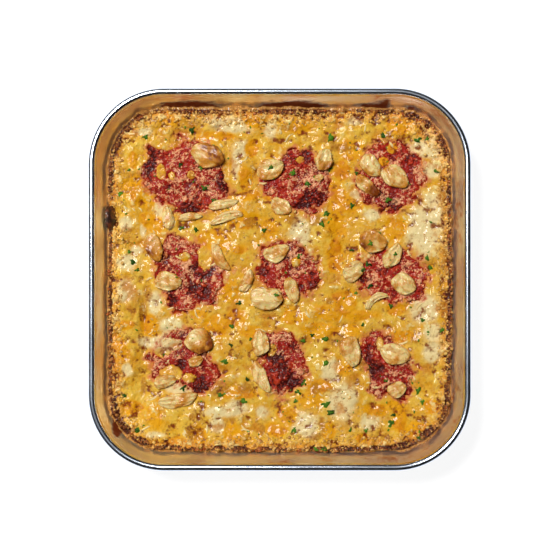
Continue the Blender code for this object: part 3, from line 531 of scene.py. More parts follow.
def disc_grid(cells):
    """A square grid from -1 to 1 as direction and share of the way to an outline, and its border's numbers."""
    step = np.linspace(-1, 1, cells + 1)
    step = 0.62 * step + 0.38 * np.sin(step * math.pi / 2)
    across, up = np.meshgrid(step, step)
    share = np.maximum(np.abs(across), np.abs(up)).ravel()
    turn = np.arctan2(up, across).ravel()
    number = np.arange((cells + 1) ** 2).reshape(cells + 1, cells + 1)
    border = np.concatenate([number[0, :-1], number[:-1, -1], number[-1, :0:-1], number[:0:-1, 0]])
    return share, turn, border


def skirted(top, cells, border, rings):
    """Joins a grid's border to rings below it, one under the other, and closes the last ring with a fan."""
    points = [top]
    groups = [grid_faces(cells + 1, cells + 1)]
    above = border
    total = len(top)
    for ring in rings:
        below = np.arange(total, total + len(ring))
        points.append(ring)
        groups.append(np.column_stack([above, below, np.roll(below, -1), np.roll(above, -1)]))
        total += len(ring)
        above = below
    points.append(points[-1].mean(axis=0, keepdims=True))
    groups.append(fan(above, total)[:, ::-1])
    return np.concatenate(points), groups


def make_bake(material):
    """Melted cheese over the whole bake: a grid pulled to the crust's ragged edge, then a rough shoulder that
    drops to the wall, then a plain side and underside that nobody sees."""
    share, turn, border = disc_grid(BAKE_CELLS)
    inset = wall_inset(FOOD_LEVEL)
    edge = ray_to_outline(turn, TRAY_HALF - inset, RIM_CORNER_RADIUS - inset) - crust_inset(turn)
    frayed = 1.3 * (cloud(90 * np.cos(turn), 90 * np.sin(turn), 2.6, 44) - 0.5)
    reach = share * (edge + frayed * share**8)
    x = reach * np.cos(turn)
    y = reach * np.sin(turn)
    height, masks = bake_surface(x, y)
    masks["burnt"] = np.zeros(len(x))
    masks["film_and_wall_reflection"] = np.zeros(len(x))
    border_turn = turn[border]
    border_reach = reach[border]
    rings = []
    shoulder = np.array([0.06, 0.14, 0.24, 0.36, 0.5, 0.66, 0.82, 1.0])
    for level in shoulder:
        bumpy = 1.6 * (cloud(90 * np.cos(border_turn), 90 * np.sin(border_turn) + 40 * level, 2.0, 47) - 0.5)
        drop = height[border] - 2.6 * smooth(level, 0, 0.35) - 0.6 * level + bumpy * max(0.5 - level, 0)
        foot = wall_inset(drop) + 0.2
        wall = ray_to_outline(border_turn, TRAY_HALF - foot, RIM_CORNER_RADIUS - foot)
        away = border_reach + (wall - border_reach) * level + bumpy * max(0.6 - level, 0)
        away = np.minimum(away, wall)
        rings.append(np.column_stack([away * np.cos(border_turn), away * np.sin(border_turn), drop]))
    for level in (FOIL + BASE_FILLET, FOIL + GAP):
        foot = wall_inset(level) + GAP + 0.15 + (BASE_FILLET * 0.85 if level < BASE_FILLET else 0)
        wall = ray_to_outline(border_turn, TRAY_HALF - foot, RIM_CORNER_RADIUS - foot)
        rings.append(np.column_stack([wall * np.cos(border_turn), wall * np.sin(border_turn), wall * 0 + level]))
    points, groups = skirted(np.column_stack([x, y, height]), BAKE_CELLS, border, rings)
    hidden = len(points) - len(x)
    for label in masks:
        side = {"crust": 1.0, "grain": 0.5, "toasted": 1.0, "film_and_wall_reflection": 1.0}.get(label, 0.0)
        masks[label] = np.concatenate([masks[label], np.full(hidden, side)])
    # Painted shadow: the seam, dark along the crust's edge and down the shoulder into the gap at the wall, wider at the
    # corners.
    seam_shadow = np.concatenate([smooth(share, 0.98, 1.0), np.zeros(hidden)])
    corner = np.sin(2 * border_turn) ** 6
    # The shoulder's outer rings take a golden coat: partly an oily coat and partly painted reflection standing in for
    # the golden wall.
    for ring, level in enumerate(shoulder):
        start = len(x) + ring * len(border)
        masks["film_and_wall_reflection"][start : start + len(border)] = smooth(level, 0.1, 0.4)
        seam_shadow[start : start + len(border)] = 1 - smooth(level - 0.2 * corner, 0.35, 0.8)
    # The burnt mask: sauce burnt on where listed along the edge, and the seam's painted shadow all round.
    ragged = 0.8 * (cloud(points[:, 0], points[:, 1], 2.4, 48) - 0.5)
    at_edge = np.append(smooth(share, 0.965, 0.99), seam_shadow[len(x) :])
    sauced = smooth(pools(points[:, 0], points[:, 1], EDGE_SAUCE) + ragged, 0.3, 0.7)
    masks["burnt"] = np.maximum(sauced * at_edge, seam_shadow * (0.6 + 1.8 * ragged))
    return piece("melted_cheese", points, groups, material, masks, ("cheese_bake",))


def make_sauce(name, material):
    """One patch of crumbly sauce: a grid pulled to a little beyond its outline, closed below."""
    middle, radii = SAUCE[name]
    middle_x, middle_y = place(*middle)
    cells = int(2 * max(radii) * FOOD_MM_PER_PIXEL / SAUCE_CELL)
    share, turn, border = disc_grid(cells)
    reach = share * (sauce_reach(radii, turn) + 1.6)
    x = middle_x + reach * np.cos(turn)
    y = middle_y + reach * np.sin(turn)
    height, masks = sauce_surface(x, y)
    below = np.column_stack([x[border], y[border], np.full(len(border), FOOD_LEVEL - 6.0)])
    points, groups = skirted(np.column_stack([x, y, height]), cells, border, [below])
    hidden = len(points) - len(x)
    masks = {label: np.concatenate([values, np.zeros(hidden)]) for label, values in masks.items()}
    return piece(name + "_crumbs", points, groups, material, masks, (name,))


def make_garlic(name, material):
    """A roasted clove or slice: an oval with a narrower tip and a bent spine, whose rounded section is a
    superellipse, with a groove and soft ridges along it and small dents."""
    middle, size, turn_deg, thick, taper, bend, lean, roasted = GARLIC[name]
    half_length = size[0] * FOOD_MM_PER_PIXEL / 2
    half_width = size[1] * FOOD_MM_PER_PIXEL / 2
    half_height = half_width * thick
    seed = int(name[-2:])
    along = -np.cos(np.linspace(0, math.pi, GARLIC_ALONG + 2)[1:-1])
    spin = np.arange(GARLIC_AROUND) / GARLIC_AROUND * 2 * math.pi
    along, spin = (part.ravel() for part in np.meshgrid(along, spin, indexing="ij"))
    share = (1 - along**2) ** 0.45 * (1 - taper * along)
    share = share * (1 + 0.22 * (cloud(along * 3 + 9 * seed, 2 * np.sign(np.cos(spin)), 1.1, 101 + seed) - 0.5))
    across = np.sign(np.cos(spin)) * np.abs(np.cos(spin)) ** 0.8
    up = 0.86 * np.sign(np.sin(spin)) * np.abs(np.sin(spin)) ** 0.5
    dents = 3.0 * (cloud(along * half_length + 9 * seed, across * half_width + 5 * up, 4.2, 101 + seed, 4) - 0.5)
    wrinkle = 2.5 * cloud(along * half_length, across * half_width, 5.0, 171 + seed)
    ridges = 0.09 * half_height * np.cos(across * (5 + seed % 4) + along * 1.5 + wrinkle)
    groove = 0.07 * half_height * np.exp(-(((across - 0.15 * np.sin(along * 3 + seed)) / 0.16) ** 2))
    local_x = along * half_length
    local_y = bend * half_length * (along**2 - 0.35) + across * half_width * share
    thick_here = share / (1 - along**2) ** 0.2
    local_z = up * half_height * thick_here + (up > 0) * share * (dents + ridges - groove)
    tip = bend * half_length * 0.65
    local = np.column_stack([local_x, local_y, local_z])
    local = np.vstack([local, [[-half_length, tip, 0], [half_length, tip, 0]]])
    pick = np.random.default_rng(300 + seed)
    for cut in range(5):
        facing = cut * 1.25 + pick.random() * 1.2
        limit = 0.72 + 0.24 * pick.random()
        aim = np.array([math.cos(facing), math.sin(facing)]) * (half_length, half_width)
        reach = (local[:, :2] / (half_length, half_width)) @ (math.cos(facing), math.sin(facing))
        local[:, :2] -= 0.6 * np.maximum(reach - limit, 0)[:, None] * aim
    x, y = place(*middle)
    level = float(food_height(np.array(x), np.array(y))) + half_height * (1 - 2 * GARLIC_SUNK)
    turned = np.array(Euler((0, math.radians(-lean), math.radians(turn_deg))).to_matrix())
    points = local @ turned.T + np.array([x, y, level + 0.15])
    last = (GARLIC_ALONG - 1) * GARLIC_AROUND
    ring = np.arange(GARLIC_AROUND)
    count = len(points)
    groups = [
        grid_faces(GARLIC_ALONG, GARLIC_AROUND, around=True),
        fan(ring, count - 2),
        fan(last + ring, count - 1)[:, ::-1],
    ]
    blotch = cloud(local[:, 0] + 7 * seed, local[:, 1], 4.5, 131 + seed)
    side = 0.5 + 0.5 * np.sin(local[:, 0] / half_length * 2.2 + seed)
    rim = 1 - smooth(local[:, 2] / half_height, -0.1, 0.75)
    roast = np.clip(roasted * (0.3 + 0.9 * side) + 0.75 * rim**1.5 + 1.5 * (blotch - 0.5), 0, 1)
    stripes = np.concatenate([0.5 + 0.5 * np.sin(across * 9 + 10 * blotch[:-2]), [0.5, 0.5]])
    masks = {"roast": roast, "stripe": stripes}
    return piece(name + "_clove", points, groups, material, masks, (name,))


def make_tray(material):
    """The tray: its section swept round a square with rounded corners. Inside the wall, over the curled rim,
    down the outside and under the base. Slow waves in the wall keep it from looking machined."""
    taper = math.radians(WALL_TAPER_DEG)
    bead_middle = TRAY_HEIGHT - BEAD_RADIUS
    wall_foot = wall_inset(FOIL + BASE_FILLET * (1 - math.sin(taper)))
    fillet_middle = wall_foot + BASE_FILLET * math.cos(taper)
    turns = np.linspace(0, math.pi / 2 - taper, 8)
    inner = np.column_stack([fillet_middle - BASE_FILLET * np.sin(turns), FOIL + BASE_FILLET * (1 - np.cos(turns))])
    wall_levels = np.linspace(inner[-1, 1], bead_middle, 22)[1:-1]
    wall = np.column_stack([wall_inset(wall_levels), wall_levels])
    curl = np.linspace(math.pi - taper, math.radians(BEAD_END_DEG), 30)
    shown = np.column_stack([BEAD_RADIUS * (1 - np.cos(curl)), bead_middle + BEAD_RADIUS * np.sin(curl)])
    core = BEAD_RADIUS - FOIL
    hidden = np.column_stack([BEAD_RADIUS - core * np.cos(curl), bead_middle + core * np.sin(curl)])[::-1]
    outside = BASE_FILLET + FOIL
    outer = np.column_stack([fillet_middle - outside * np.sin(turns), FOIL + BASE_FILLET - outside * np.cos(turns)])
    outer_levels = np.linspace(hidden[-1, 1], outer[-1, 1], 22)[1:-1]
    slope = (outer[-1, 0] - hidden[-1, 0]) / (outer[-1, 1] - hidden[-1, 1])
    outer_wall = np.column_stack([hidden[-1, 0] + (outer_levels - hidden[-1, 1]) * slope, outer_levels])
    section = np.vstack([inner, wall, shown, hidden, outer_wall, outer[::-1]])
    bend = np.linspace(0, math.pi / 2, 25)
    straight = np.linspace(0, 1, 31)[1:-1]
    arc = np.column_stack([np.cos(bend), np.sin(bend)])
    corners = []
    for quarter in range(4):
        turned = np.array(Matrix.Rotation(quarter * math.pi / 2, 2))
        middle = turned @ np.array([CORNER_MIDDLE, CORNER_MIDDLE])
        after = np.array(Matrix.Rotation((quarter + 1) * math.pi / 2, 2)) @ np.array([CORNER_MIDDLE, CORNER_MIDDLE])
        direction = arc @ turned.T
        corners.append(np.column_stack([np.tile(middle, (len(arc), 1)), direction]))
        along = middle + (after - middle) * straight[:, None]
        corners.append(np.column_stack([along, np.tile(direction[-1], (len(straight), 1))]))
    path = np.vstack(corners)
    spot = np.arange(len(path)) / len(path) * 2 * math.pi
    inset = section[:, :1]
    level = section[:, 1:]
    on_wall = smooth(level, 4, 12) * smooth(-level, -41, -35)
    waves = 0.22 * on_wall * (np.sin(7 * spot + 1.0) + 0.7 * np.sin(17 * spot + level / 9) + 0.4 * np.sin(31 * spot))
    radius = RIM_CORNER_RADIUS - inset - waves
    x = path[:, 0] + radius * path[:, 2]
    y = path[:, 1] + radius * path[:, 3]
    z = np.broadcast_to(level, x.shape)
    points = np.column_stack([x.ravel(), y.ravel(), z.ravel()])
    rows, columns = x.shape
    ring = np.arange(columns)
    start = len(points)
    points = np.vstack([points, [[0, 0, FOIL], [0, 0, 0]]])
    groups = [
        grid_faces(rows, columns, around=True),
        fan(ring, start)[:, ::-1],
        fan((rows - 1) * columns + ring, start + 1),
    ]
    inner_side = np.concatenate([np.ones(len(inner) + len(wall)), np.zeros(rows - len(inner) - len(wall))])
    inner_side = np.broadcast_to(inner_side[:, None], x.shape).ravel()
    flat_x, flat_y, flat_z = points[:-2].T
    streak = cloud(flat_x + flat_y, flat_x - flat_y + 0.5 * flat_z, 9, 151)
    at_left = smooth(-flat_x, -60, 100)
    # A pale amber tint inside the wall, strongest low down and on the left: partly a greasy coat in streaks and partly
    # painted reflection of the golden food.
    grease_and_reflection = inner_side * np.clip(0.3 * smooth(-flat_z, -43, -30) + 0.7 * at_left + 1.2 * (streak - 0.5), 0, 1)
    ragged = 0.5 * (cloud(flat_x * 1.0, flat_y * 1.0 + flat_z, 4.0, 155) - 0.5)
    stain = inner_side * smooth(pools(flat_x, flat_y, STAINS) + ragged, 0.3, 0.8)
    stain = stain * smooth(-flat_z, -41.5, -35)
    masks = {"grease_and_reflection": np.append(grease_and_reflection, [0, 0]), "stain": np.append(stain, [0, 0])}
    masks["inner"] = np.append(inner_side, [1, 0])
    under_side = np.arange(rows) >= len(inner) + len(wall) + len(shown)
    masks["under"] = np.append(np.repeat(under_side, columns), [0, 1])
    return piece("pressed_foil_tray", points, groups, material, masks, ("foil_tray",))


def make_burnt(material):
    """A glossy blob of burnt sauce against the wall: a ball squashed to size, its radius varied by sine waves."""
    x, y = place(*BURNT_MIDDLE)
    rise = np.linspace(-math.pi / 2, math.pi / 2, 18)[1:-1]
    spin = np.arange(28) / 28 * 2 * math.pi
    rise, spin = (part.ravel() for part in np.meshgrid(rise, spin, indexing="ij"))
    ball = np.column_stack([np.cos(rise) * np.cos(spin), np.cos(rise) * np.sin(spin), np.sin(rise)])
    ball = np.vstack([ball, [[0, 0, -1], [0, 0, 1]]])
    lumps = 1 + 0.10 * np.sin(5 * ball[:, 1] + 3 * ball[:, 0]) + 0.06 * np.sin(13 * ball[:, 1] + 9 * ball[:, 0])
    half = np.array([BURNT_HALF[0], BURNT_HALF[1], 7.0]) * FOOD_MM_PER_PIXEL
    points = ball * half * lumps[:, None] + np.array([x, y, FOOD_LEVEL - 0.8])
    points[:, 0] -= 0.5 * np.maximum(points[:, 2] - FOOD_LEVEL + 1.5, 0)
    ring = np.arange(28)
    groups = [grid_faces(16, 28, around=True), fan(ring, len(points) - 2)[:, ::-1], fan(15 * 28 + ring, len(points) - 1)]
    return piece("burnt_sauce_blob", points, groups, material, None, ("burnt_sauce",))


def lump_shape():
    """A small ball of two poles and three rings of six points: 20 points and 30 faces."""
    rise = np.repeat([-0.8, 0.0, 0.8], 6)
    spin = np.tile(np.arange(6) / 6 * 2 * math.pi, 3) + np.repeat([0.0, 0.5, 1.0], 6)
    ball = np.column_stack([np.cos(rise) * np.cos(spin), np.cos(rise) * np.sin(spin), np.sin(rise)])
    ball = np.vstack([ball, [[0, 0, -1], [0, 0, 1]]])
    ring = np.arange(6)
    return ball, [grid_faces(3, 6, around=True), fan(ring, 18)[:, ::-1], fan(12 + ring, 19)]


def scatter(name, spots, sizes, tones, material, seed):
    """Many small crumbs as one mesh: the lump shape scaled three ways, dented point by point and turned."""
    ball, groups = lump_shape()
    pick = np.random.default_rng(seed)
    count = len(spots)
    dented = ball * (0.6 + 0.8 * pick.random((count, len(ball), 1)))
    shaped = dented * sizes[:, None, :]
    spin = pick.random(count) * 2 * math.pi
    tilt = (pick.random(count) - 0.5) * 1.2
    x = shaped[..., 0] * np.cos(tilt)[:, None] - shaped[..., 2] * np.sin(tilt)[:, None]
    z = shaped[..., 0] * np.sin(tilt)[:, None] + shaped[..., 2] * np.cos(tilt)[:, None]
    y = shaped[..., 1]
    turned_x = x * np.cos(spin)[:, None] - y * np.sin(spin)[:, None]
    turned_y = x * np.sin(spin)[:, None] + y * np.cos(spin)[:, None]
    points = np.stack([turned_x, turned_y, z], axis=-1) + spots[:, None, :]
    shift = (np.arange(count) * len(ball))[:, None, None]
    all_groups = [(group[None] + shift).reshape(-1, group.shape[1]) for group in outward(ball, groups)]
    masks = {"tone": np.repeat(tones, len(ball))}
    return piece(name, points.reshape(-1, 3), all_groups, material, masks, (), crumbs=True)


def food_top(x, y):
    """The upper of the cheese and the sauce."""
    return np.maximum(bake_surface(x, y)[0], sauce_surface(x, y)[0])


def crust_crumbs(material):
    """Browned crumbs of cheese and breadcrumb along the wall, thickest at the crust's very edge."""
    pick = np.random.default_rng(201)
    count = 3600
    turn = pick.random(count) * 2 * math.pi
    inset = wall_inset(FOOD_LEVEL)
    edge = ray_to_outline(turn, TRAY_HALF - inset, RIM_CORNER_RADIUS - inset) - crust_inset(turn)
    inward = 8.0 * pick.random(count) ** 1.8 - 0.5
    x = (edge - inward) * np.cos(turn)
    y = (edge - inward) * np.sin(turn)
    size = 0.25 + 0.7 * pick.random(count) ** 3
    sizes = size[:, None] * (0.6 + 0.9 * pick.random((count, 3))) * (1, 1, 0.7)
    spots = np.column_stack([x, y, food_top(x, y) + 0.15 * size])
    tones = np.clip(0.7 * pick.random(count) ** 1.5 + 0.4 * np.exp(-(inward / 1.0) ** 2), 0, 1)
    return scatter("crust_crumbs", spots, sizes, tones, material, 202)


def edge_crumbs(material, tops):
    """Dark red-brown crumbs of sauce along the crust's edge and in the gap by the wall, each one dropped on to
    whatever lies below it."""
    pick = np.random.default_rng(261)
    count = 5200
    turn = pick.random(count) * 2 * math.pi
    inset = wall_inset(FOOD_LEVEL)
    edge = ray_to_outline(turn, TRAY_HALF - inset, RIM_CORNER_RADIUS - inset) - crust_inset(turn)
    outward_by = 2.6 * pick.random(count) - 1.1
    x = (edge + outward_by) * np.cos(turn)
    y = (edge + outward_by) * np.sin(turn)
    keep = pools(x, y, EDGE_SAUCE) + 0.5 * (pick.random(count) - 0.5) > 0.5
    x, y = x[keep], y[keep]
    level = landing(x, y, tops)
    fits = room_to_wall(x, y, level) > 1.2
    x, y, level = x[fits], y[fits], level[fits]
    size = 0.25 + 0.55 * pick.random(len(x)) ** 2
    spots = np.column_stack([x, y, level + 0.1 * size])
    sizes = size[:, None] * (0.7 + 0.7 * pick.random((len(x), 3)))
    return scatter("edge_crumbs", spots, sizes, pick.random(len(x)), material, 262)


def cheese_crumbs(material):
    """Small unmelted bits of cheese scattered over the bake, more of them where it is rough."""
    pick = np.random.default_rng(211)
    spots = (pick.random((5200, 2)) - 0.5) * 178
    x, y = spots.T
    inset = wall_inset(FOOD_LEVEL)
    inside = inside_outline(x, y, TRAY_HALF - inset, RIM_CORNER_RADIUS - inset)
    keep = (inside > 6) & (cloud(x, y, 13, 75) + 0.2 * pick.random(len(x)) > 0.72) & (sauce_shows(x, y) < 0.5)
    x, y = x[keep], y[keep]
    count = len(x)
    size = 0.28 + 0.5 * pick.random(count) ** 2.5
    sizes = size[:, None] * (0.7 + 0.8 * pick.random((count, 3))) * (1, 1, 0.6)
    spots = np.column_stack([x, y, food_top(x, y) - 0.05 * size])
    return scatter("cheese_crumbs", spots, sizes, 0.4 * pick.random(count), material, 212)


def sauce_crumbs(material):
    """Coarse crumbs on the open sauce, from deep red to pink with cheese dust."""
    pick = np.random.default_rng(221)
    x, y = ((pick.random((20000, 2)) - 0.5) * 178).T
    keep = sauce_shows(x, y) > 0.8
    x, y = x[keep], y[keep]
    count = len(x)
    size = 0.2 + 0.5 * pick.random(count) ** 3
    sizes = size[:, None] * (0.6 + 0.9 * pick.random((count, 3)))
    level, masks = sauce_surface(x, y)
    spots = np.column_stack([x, y, level + 0.15 * size])
    tones = np.clip(0.45 * pick.random(count) + 0.6 * masks["dust"] - 0.15, 0, 1)
    return scatter("sauce_crumbs", spots, sizes, tones, material, 222)


def cheese_shreds(material):
    """Part-melted shreds of grated cheese: bent tubes with pointed ends, half sunk in the surface.

    Each shred is a grid of six points round and seven along; its radius falls to nothing at the ends as the
    square root of the sine of the way along, and its spine is an arc.
    """
    pick = np.random.default_rng(231)
    x, y = ((pick.random((80, 2)) - 0.5) * 172).T
    keep = (sauce_shows(x, y) < 0.3) | (pick.random(len(x)) < 0.25)
    x, y = x[keep], y[keep]
    count = len(x)
    length = 2.5 + 5.5 * pick.random(count) ** 1.5
    width = 0.45 + 0.35 * pick.random(count)
    turn = pick.random(count) * math.pi
    bow = (pick.random(count) - 0.5) * 0.9
    along = np.linspace(-1, 1, 9)[1:-1]
    spin = np.arange(6) / 6 * 2 * math.pi
    spine_x = length[:, None] / 2 * along
    spine_y = bow[:, None] * length[:, None] / 2 * (along**2 - 0.4)
    centre_x = x[:, None] + spine_x * np.cos(turn)[:, None] - spine_y * np.sin(turn)[:, None]
    centre_y = y[:, None] + spine_x * np.sin(turn)[:, None] + spine_y * np.cos(turn)[:, None]
    centre_z = food_top(centre_x, centre_y) - 0.1
    centre_z = 0.5 * centre_z + 0.5 * centre_z.mean(axis=1, keepdims=True)
    radius = width[:, None] * np.sqrt(np.sin((along + 1) / 2 * math.pi))
    side_x = -np.sin(turn)[:, None, None]
    side_y = np.cos(turn)[:, None, None]
    px = centre_x[..., None] + side_x * radius[..., None] * np.cos(spin)
    py = centre_y[..., None] + side_y * radius[..., None] * np.cos(spin)
    pz = centre_z[..., None] + radius[..., None] * np.sin(spin)
    rings = np.stack([px, py, pz], axis=-1).reshape(count, -1, 3)
    ends = np.stack([centre_x[:, [0, -1]], centre_y[:, [0, -1]], centre_z[:, [0, -1]]], axis=-1)
    reach = (length / 16)[:, None]
    ends[:, 0, :2] -= np.column_stack([np.cos(turn), np.sin(turn)]) * reach
    ends[:, 1, :2] += np.column_stack([np.cos(turn), np.sin(turn)]) * reach
    points = np.concatenate([rings, ends], axis=1)
    size = points.shape[1]
    ring = np.arange(6)
    single = [grid_faces(7, 6, around=True), fan(ring, size - 2)[:, ::-1], fan(36 + ring, size - 1)]
    single = outward(points[0], single)
    shift = (np.arange(count) * size)[:, None, None]
    groups = [(group[None] + shift).reshape(-1, group.shape[1]) for group in single]
    masks = {"tone": np.repeat(0.35 * pick.random(count), size)}
    return piece("cheese_shreds", points.reshape(-1, 3), groups, material, masks, (), crumbs=True)


def landing(x, y, tops):
    """The height in millimetres at which things dropped at each x and y come to lie."""
    levels = []
    for spot_x, spot_y in zip(x, y):
        hits = [tree.ray_cast(Vector((spot_x * MM, spot_y * MM, 0.09)), Vector((0, 0, -1)))[0] for tree in tops]
        levels.append(max(hit.z for hit in hits if hit) / MM)
    return np.array(levels)


def parsley_leaves(spots, material, tops):
    """Chopped parsley: each leaf is a thin wavy lobed solid whose two faces are split into triangles alike.

    The outline's reach is half the length times (0.55 + 0.45 |sin 1.5a|), a being the way round, jagged at
    random, and the sheet waves with sin 3a. Each leaf lies on whatever is highest below it.
    """
    around = 15
    spin = np.arange(around) / around * 2 * math.pi
    pick = np.random.default_rng(241)
    points = []
    tones = []
    for across, down, length, turn in spots:
        x, y = place(across, down)
        room = room_to_wall(x, y, landing([x], [y], tops)[0])
        inward = 1 - 1.3 * max(length / 2 + 0.5 - room, 0) / max(abs(x), abs(y))
        x, y = x * inward, y * inward
        level = landing([x], [y], tops)[0]
        lobes = 0.5 + 0.5 * np.abs(np.sin(1.5 * spin + pick.random() * 3)) + 0.6 * (pick.random(around) - 0.5)
        leaf_x = length / 2 * lobes * np.cos(spin)
        leaf_y = length / 2 * 0.68 * lobes * np.sin(spin)
        wave = 0.07 * length * np.sin(3 * spin + pick.random() * 6) + 0.25 * leaf_x * (pick.random() - 0.5)
        angle = math.radians(turn)
        sheet_x = x + np.append(leaf_x * math.cos(angle) - leaf_y * math.sin(angle), 0)
        sheet_y = y + np.append(leaf_x * math.sin(angle) + leaf_y * math.cos(angle), 0)
        sheet_z = level + 0.3 + np.append(wave, 0.12)
        points.append(np.column_stack([sheet_x, sheet_y, sheet_z + 0.09]))
        points.append(np.column_stack([sheet_x, sheet_y, sheet_z - 0.09]))
        tones.append(np.clip(0.3 + 0.5 * pick.random() + 0.7 * (pick.random(2 * around + 2) - 0.5), 0, 1))
    ring = np.arange(around)
    upper = fan(ring, around)
    lower = fan(ring + around + 1, 2 * around + 1)[:, ::-1]
    rim = np.column_stack([ring, ring + around + 1, np.roll(ring, -1) + around + 1, np.roll(ring, -1)])
    count = len(spots)
    size = 2 * around + 2
    single = outward(np.concatenate(points[:2]) - points[0].mean(axis=0), [upper, lower, rim])
    shift = (np.arange(count) * size)[:, None, None]
    groups = [(group[None] + shift).reshape(-1, group.shape[1]) for group in single]
    masks = {"tone": np.concatenate(tones)}
    return piece("parsley_leaves", np.concatenate(points), groups, material, masks, (), crumbs=True)


def parsley_bits(material, tops):
    """Tiny dark flecks of parsley over the whole dish, as small flat lumps."""
    pick = np.random.default_rng(251)
    x, y = ((pick.random((160, 2)) - 0.5) * 170).T
    fits = room_to_wall(x, y, FOOD_LEVEL) > 4
    x, y = x[fits], y[fits]
    size = 0.25 + 0.45 * pick.random(len(x)) ** 2
    sizes = np.column_stack([size * 1.5, size * 0.8, size * 0.45])
    spots = np.column_stack([x, y, landing(x, y, tops) + 0.1])
    return scatter("parsley_bits", spots, sizes, pick.random(len(x)) * 0.5, material, 252)


def linear(code):
    """An sRGB hex colour as linear red, green, blue and alpha."""
    channels = [int(code[place : place + 2], 16) / 255 for place in (1, 3, 5)]
    return (*[c / 12.92 if c <= 0.04045 else ((c + 0.055) / 1.055) ** 2.4 for c in channels], 1.0)


def add(tree, kind, settings=None, links=None):
    """Adds a node, sets its properties or its inputs' values, and links outputs of other nodes to its inputs."""
    node = tree.nodes.new(kind)
    for name, value in (settings or {}).items():
        if isinstance(name, int) or name in node.inputs:
            node.inputs[name].default_value = value
        else:
            setattr(node, name, value)
    for name, source in (links or {}).items():
        tree.links.new(source, node.inputs[name])
    return node


def start_material(name, **values):
    """A material with a Principled shader whose plain values are set, and its object coordinates."""
    material = bpy.data.materials.new(name)
    material.use_nodes = True
    tree = material.node_tree
    shader = tree.nodes["Principled BSDF"]
    for label, value in values.items():
        shader.inputs[label.replace("_", " ")].default_value = value
    coordinates = add(tree, "ShaderNodeTexCoord").outputs["Object"]
    return material, tree, shader, coordinates


def layered(tree, base, layers):
    """A colour with others laid over it in turn. Each layer is a colour or socket, and a mask socket."""
    for colour, mask in layers:
        mixed = add(tree, "ShaderNodeMix", {"data_type": "RGBA"}, {0: mask})
        for number, source in ((6, base), (7, colour)):
            if isinstance(source, str):
                mixed.inputs[number].default_value = linear(source)
            else:
                tree.links.new(source, mixed.inputs[number])
        base = mixed.outputs[2]
    return base


def frayed_mask(tree, source, noise, amount, low, high):
    """A mask broken up by noise: smooth step of source + amount times (noise - 0.5), from low to high."""
    spread = add(tree, "ShaderNodeMath", {"operation": "MULTIPLY_ADD", 1: amount, 2: -0.5 * amount}, {0: noise})
    total = add(tree, "ShaderNodeMath", {"operation": "ADD"}, {0: source, 1: spread.outputs[0]})
    step = add(tree, "ShaderNodeMapRange", {"interpolation_type": "SMOOTHSTEP", 1: low, 2: high}, {0: total.outputs[0]})
    return step.outputs[0]


def attribute(tree, name):
    return add(tree, "ShaderNodeAttribute", {"attribute_name": name}).outputs["Fac"]


def noise_of(tree, coordinates, scale, detail=4.0, roughness=0.6):
    settings = {"Scale": scale, "Detail": detail, "Roughness": roughness}
    return add(tree, "ShaderNodeTexNoise", settings, {"Vector": coordinates}).outputs["Fac"]


def bump_from(tree, shader, heights):
    """Chains bumps: each entry is a height socket, its strength as a number or a socket, and its depth."""
    normal = None
    for height, strength, depth in heights:
        settings = {"Distance": depth}
        links = {"Height": height}
        (settings if isinstance(strength, float) else links)["Strength"] = strength
        if normal:
            links["Normal"] = normal
        normal = add(tree, "ShaderNodeBump", settings, links).outputs["Normal"]
    tree.links.new(normal, shader.inputs["Normal"])


def foil_material():
    """Satin aluminium: fine lines drawn along the wall, a pale amber tint that is partly a greasy coat and partly
    painted reflection of the food, brown baked-on sauce, painted shade on the outside and underside, and a bluish bead
    whose tint stands in for the light it reflects.
    """
    material, tree, shader, coordinates = start_material("pressed aluminium foil", Metallic=1.0)
    blotch = noise_of(tree, coordinates, 90)
    stretched = add(tree, "ShaderNodeMapping", {"Scale": (40, 40, 1500)}, {"Vector": coordinates})
    lines = noise_of(tree, stretched.outputs["Vector"], 1.0, 3.0)
    grease_and_reflection = frayed_mask(tree, attribute(tree, "grease_and_reflection"), blotch, 0.5, 0.1, 0.95)
    stain = frayed_mask(tree, attribute(tree, "stain"), noise_of(tree, coordinates, 350), 0.7, 0.2, 0.95)
    inner = attribute(tree, "inner")
    tanned = frayed_mask(tree, noise_of(tree, coordinates, 60), blotch, 0.7, 0.5, 0.75)
    # Inside: foil white, tanned in blotches, then the pale amber tint that is partly a greasy coat and partly painted
    # reflection of the food.
    inside = layered(tree, "#fff8ec", [("#d8966c", tanned), ("#ffeeb8", grease_and_reflection)])
    # The outside and underside are a darker grey than the same foil elsewhere, as painted shade; the bead's bluish
    # white tints what it reflects, a painted reflection colour.
    colour = layered(tree, "#dbe3f0", [("#9da1a8", attribute(tree, "under")), (inside, inner), ("#7c3414", stain)])
    tree.links.new(colour, shader.inputs["Base Color"])
    dull = add(tree, "ShaderNodeMapRange", {3: 0.16, 4: 0.3}, {0: lines})
    duller = add(tree, "ShaderNodeMath", {"operation": "MULTIPLY_ADD", 1: 0.08}, {0: inner, 2: dull.outputs[0]})
    tree.links.new(duller.outputs[0], shader.inputs["Roughness"])
    filmed = add(tree, "ShaderNodeMapRange", {3: 1.0, 4: 0.95}, {0: inner})
    metallic = filmed.outputs[0]
    for mask, left in ((grease_and_reflection, 0.9), (stain, 0.1)):
        bare = add(tree, "ShaderNodeMapRange", {3: 1.0, 4: left}, {0: mask})
        both = add(tree, "ShaderNodeMath", {"operation": "MULTIPLY"}, {0: metallic, 1: bare.outputs[0]})
        metallic = both.outputs[0]
    tree.links.new(metallic, shader.inputs["Metallic"])
    height = add(tree, "ShaderNodeSeparateXYZ", None, {0: coordinates}).outputs["Z"]
    receding = add(tree, "ShaderNodeMath", {"operation": "MULTIPLY", 1: -0.37}, {0: height})
    bump_from(tree, shader, [(receding.outputs[0], inner, 1.0), (lines, 0.2, 0.0002), (stain, 0.4, 0.0003)])
    return material


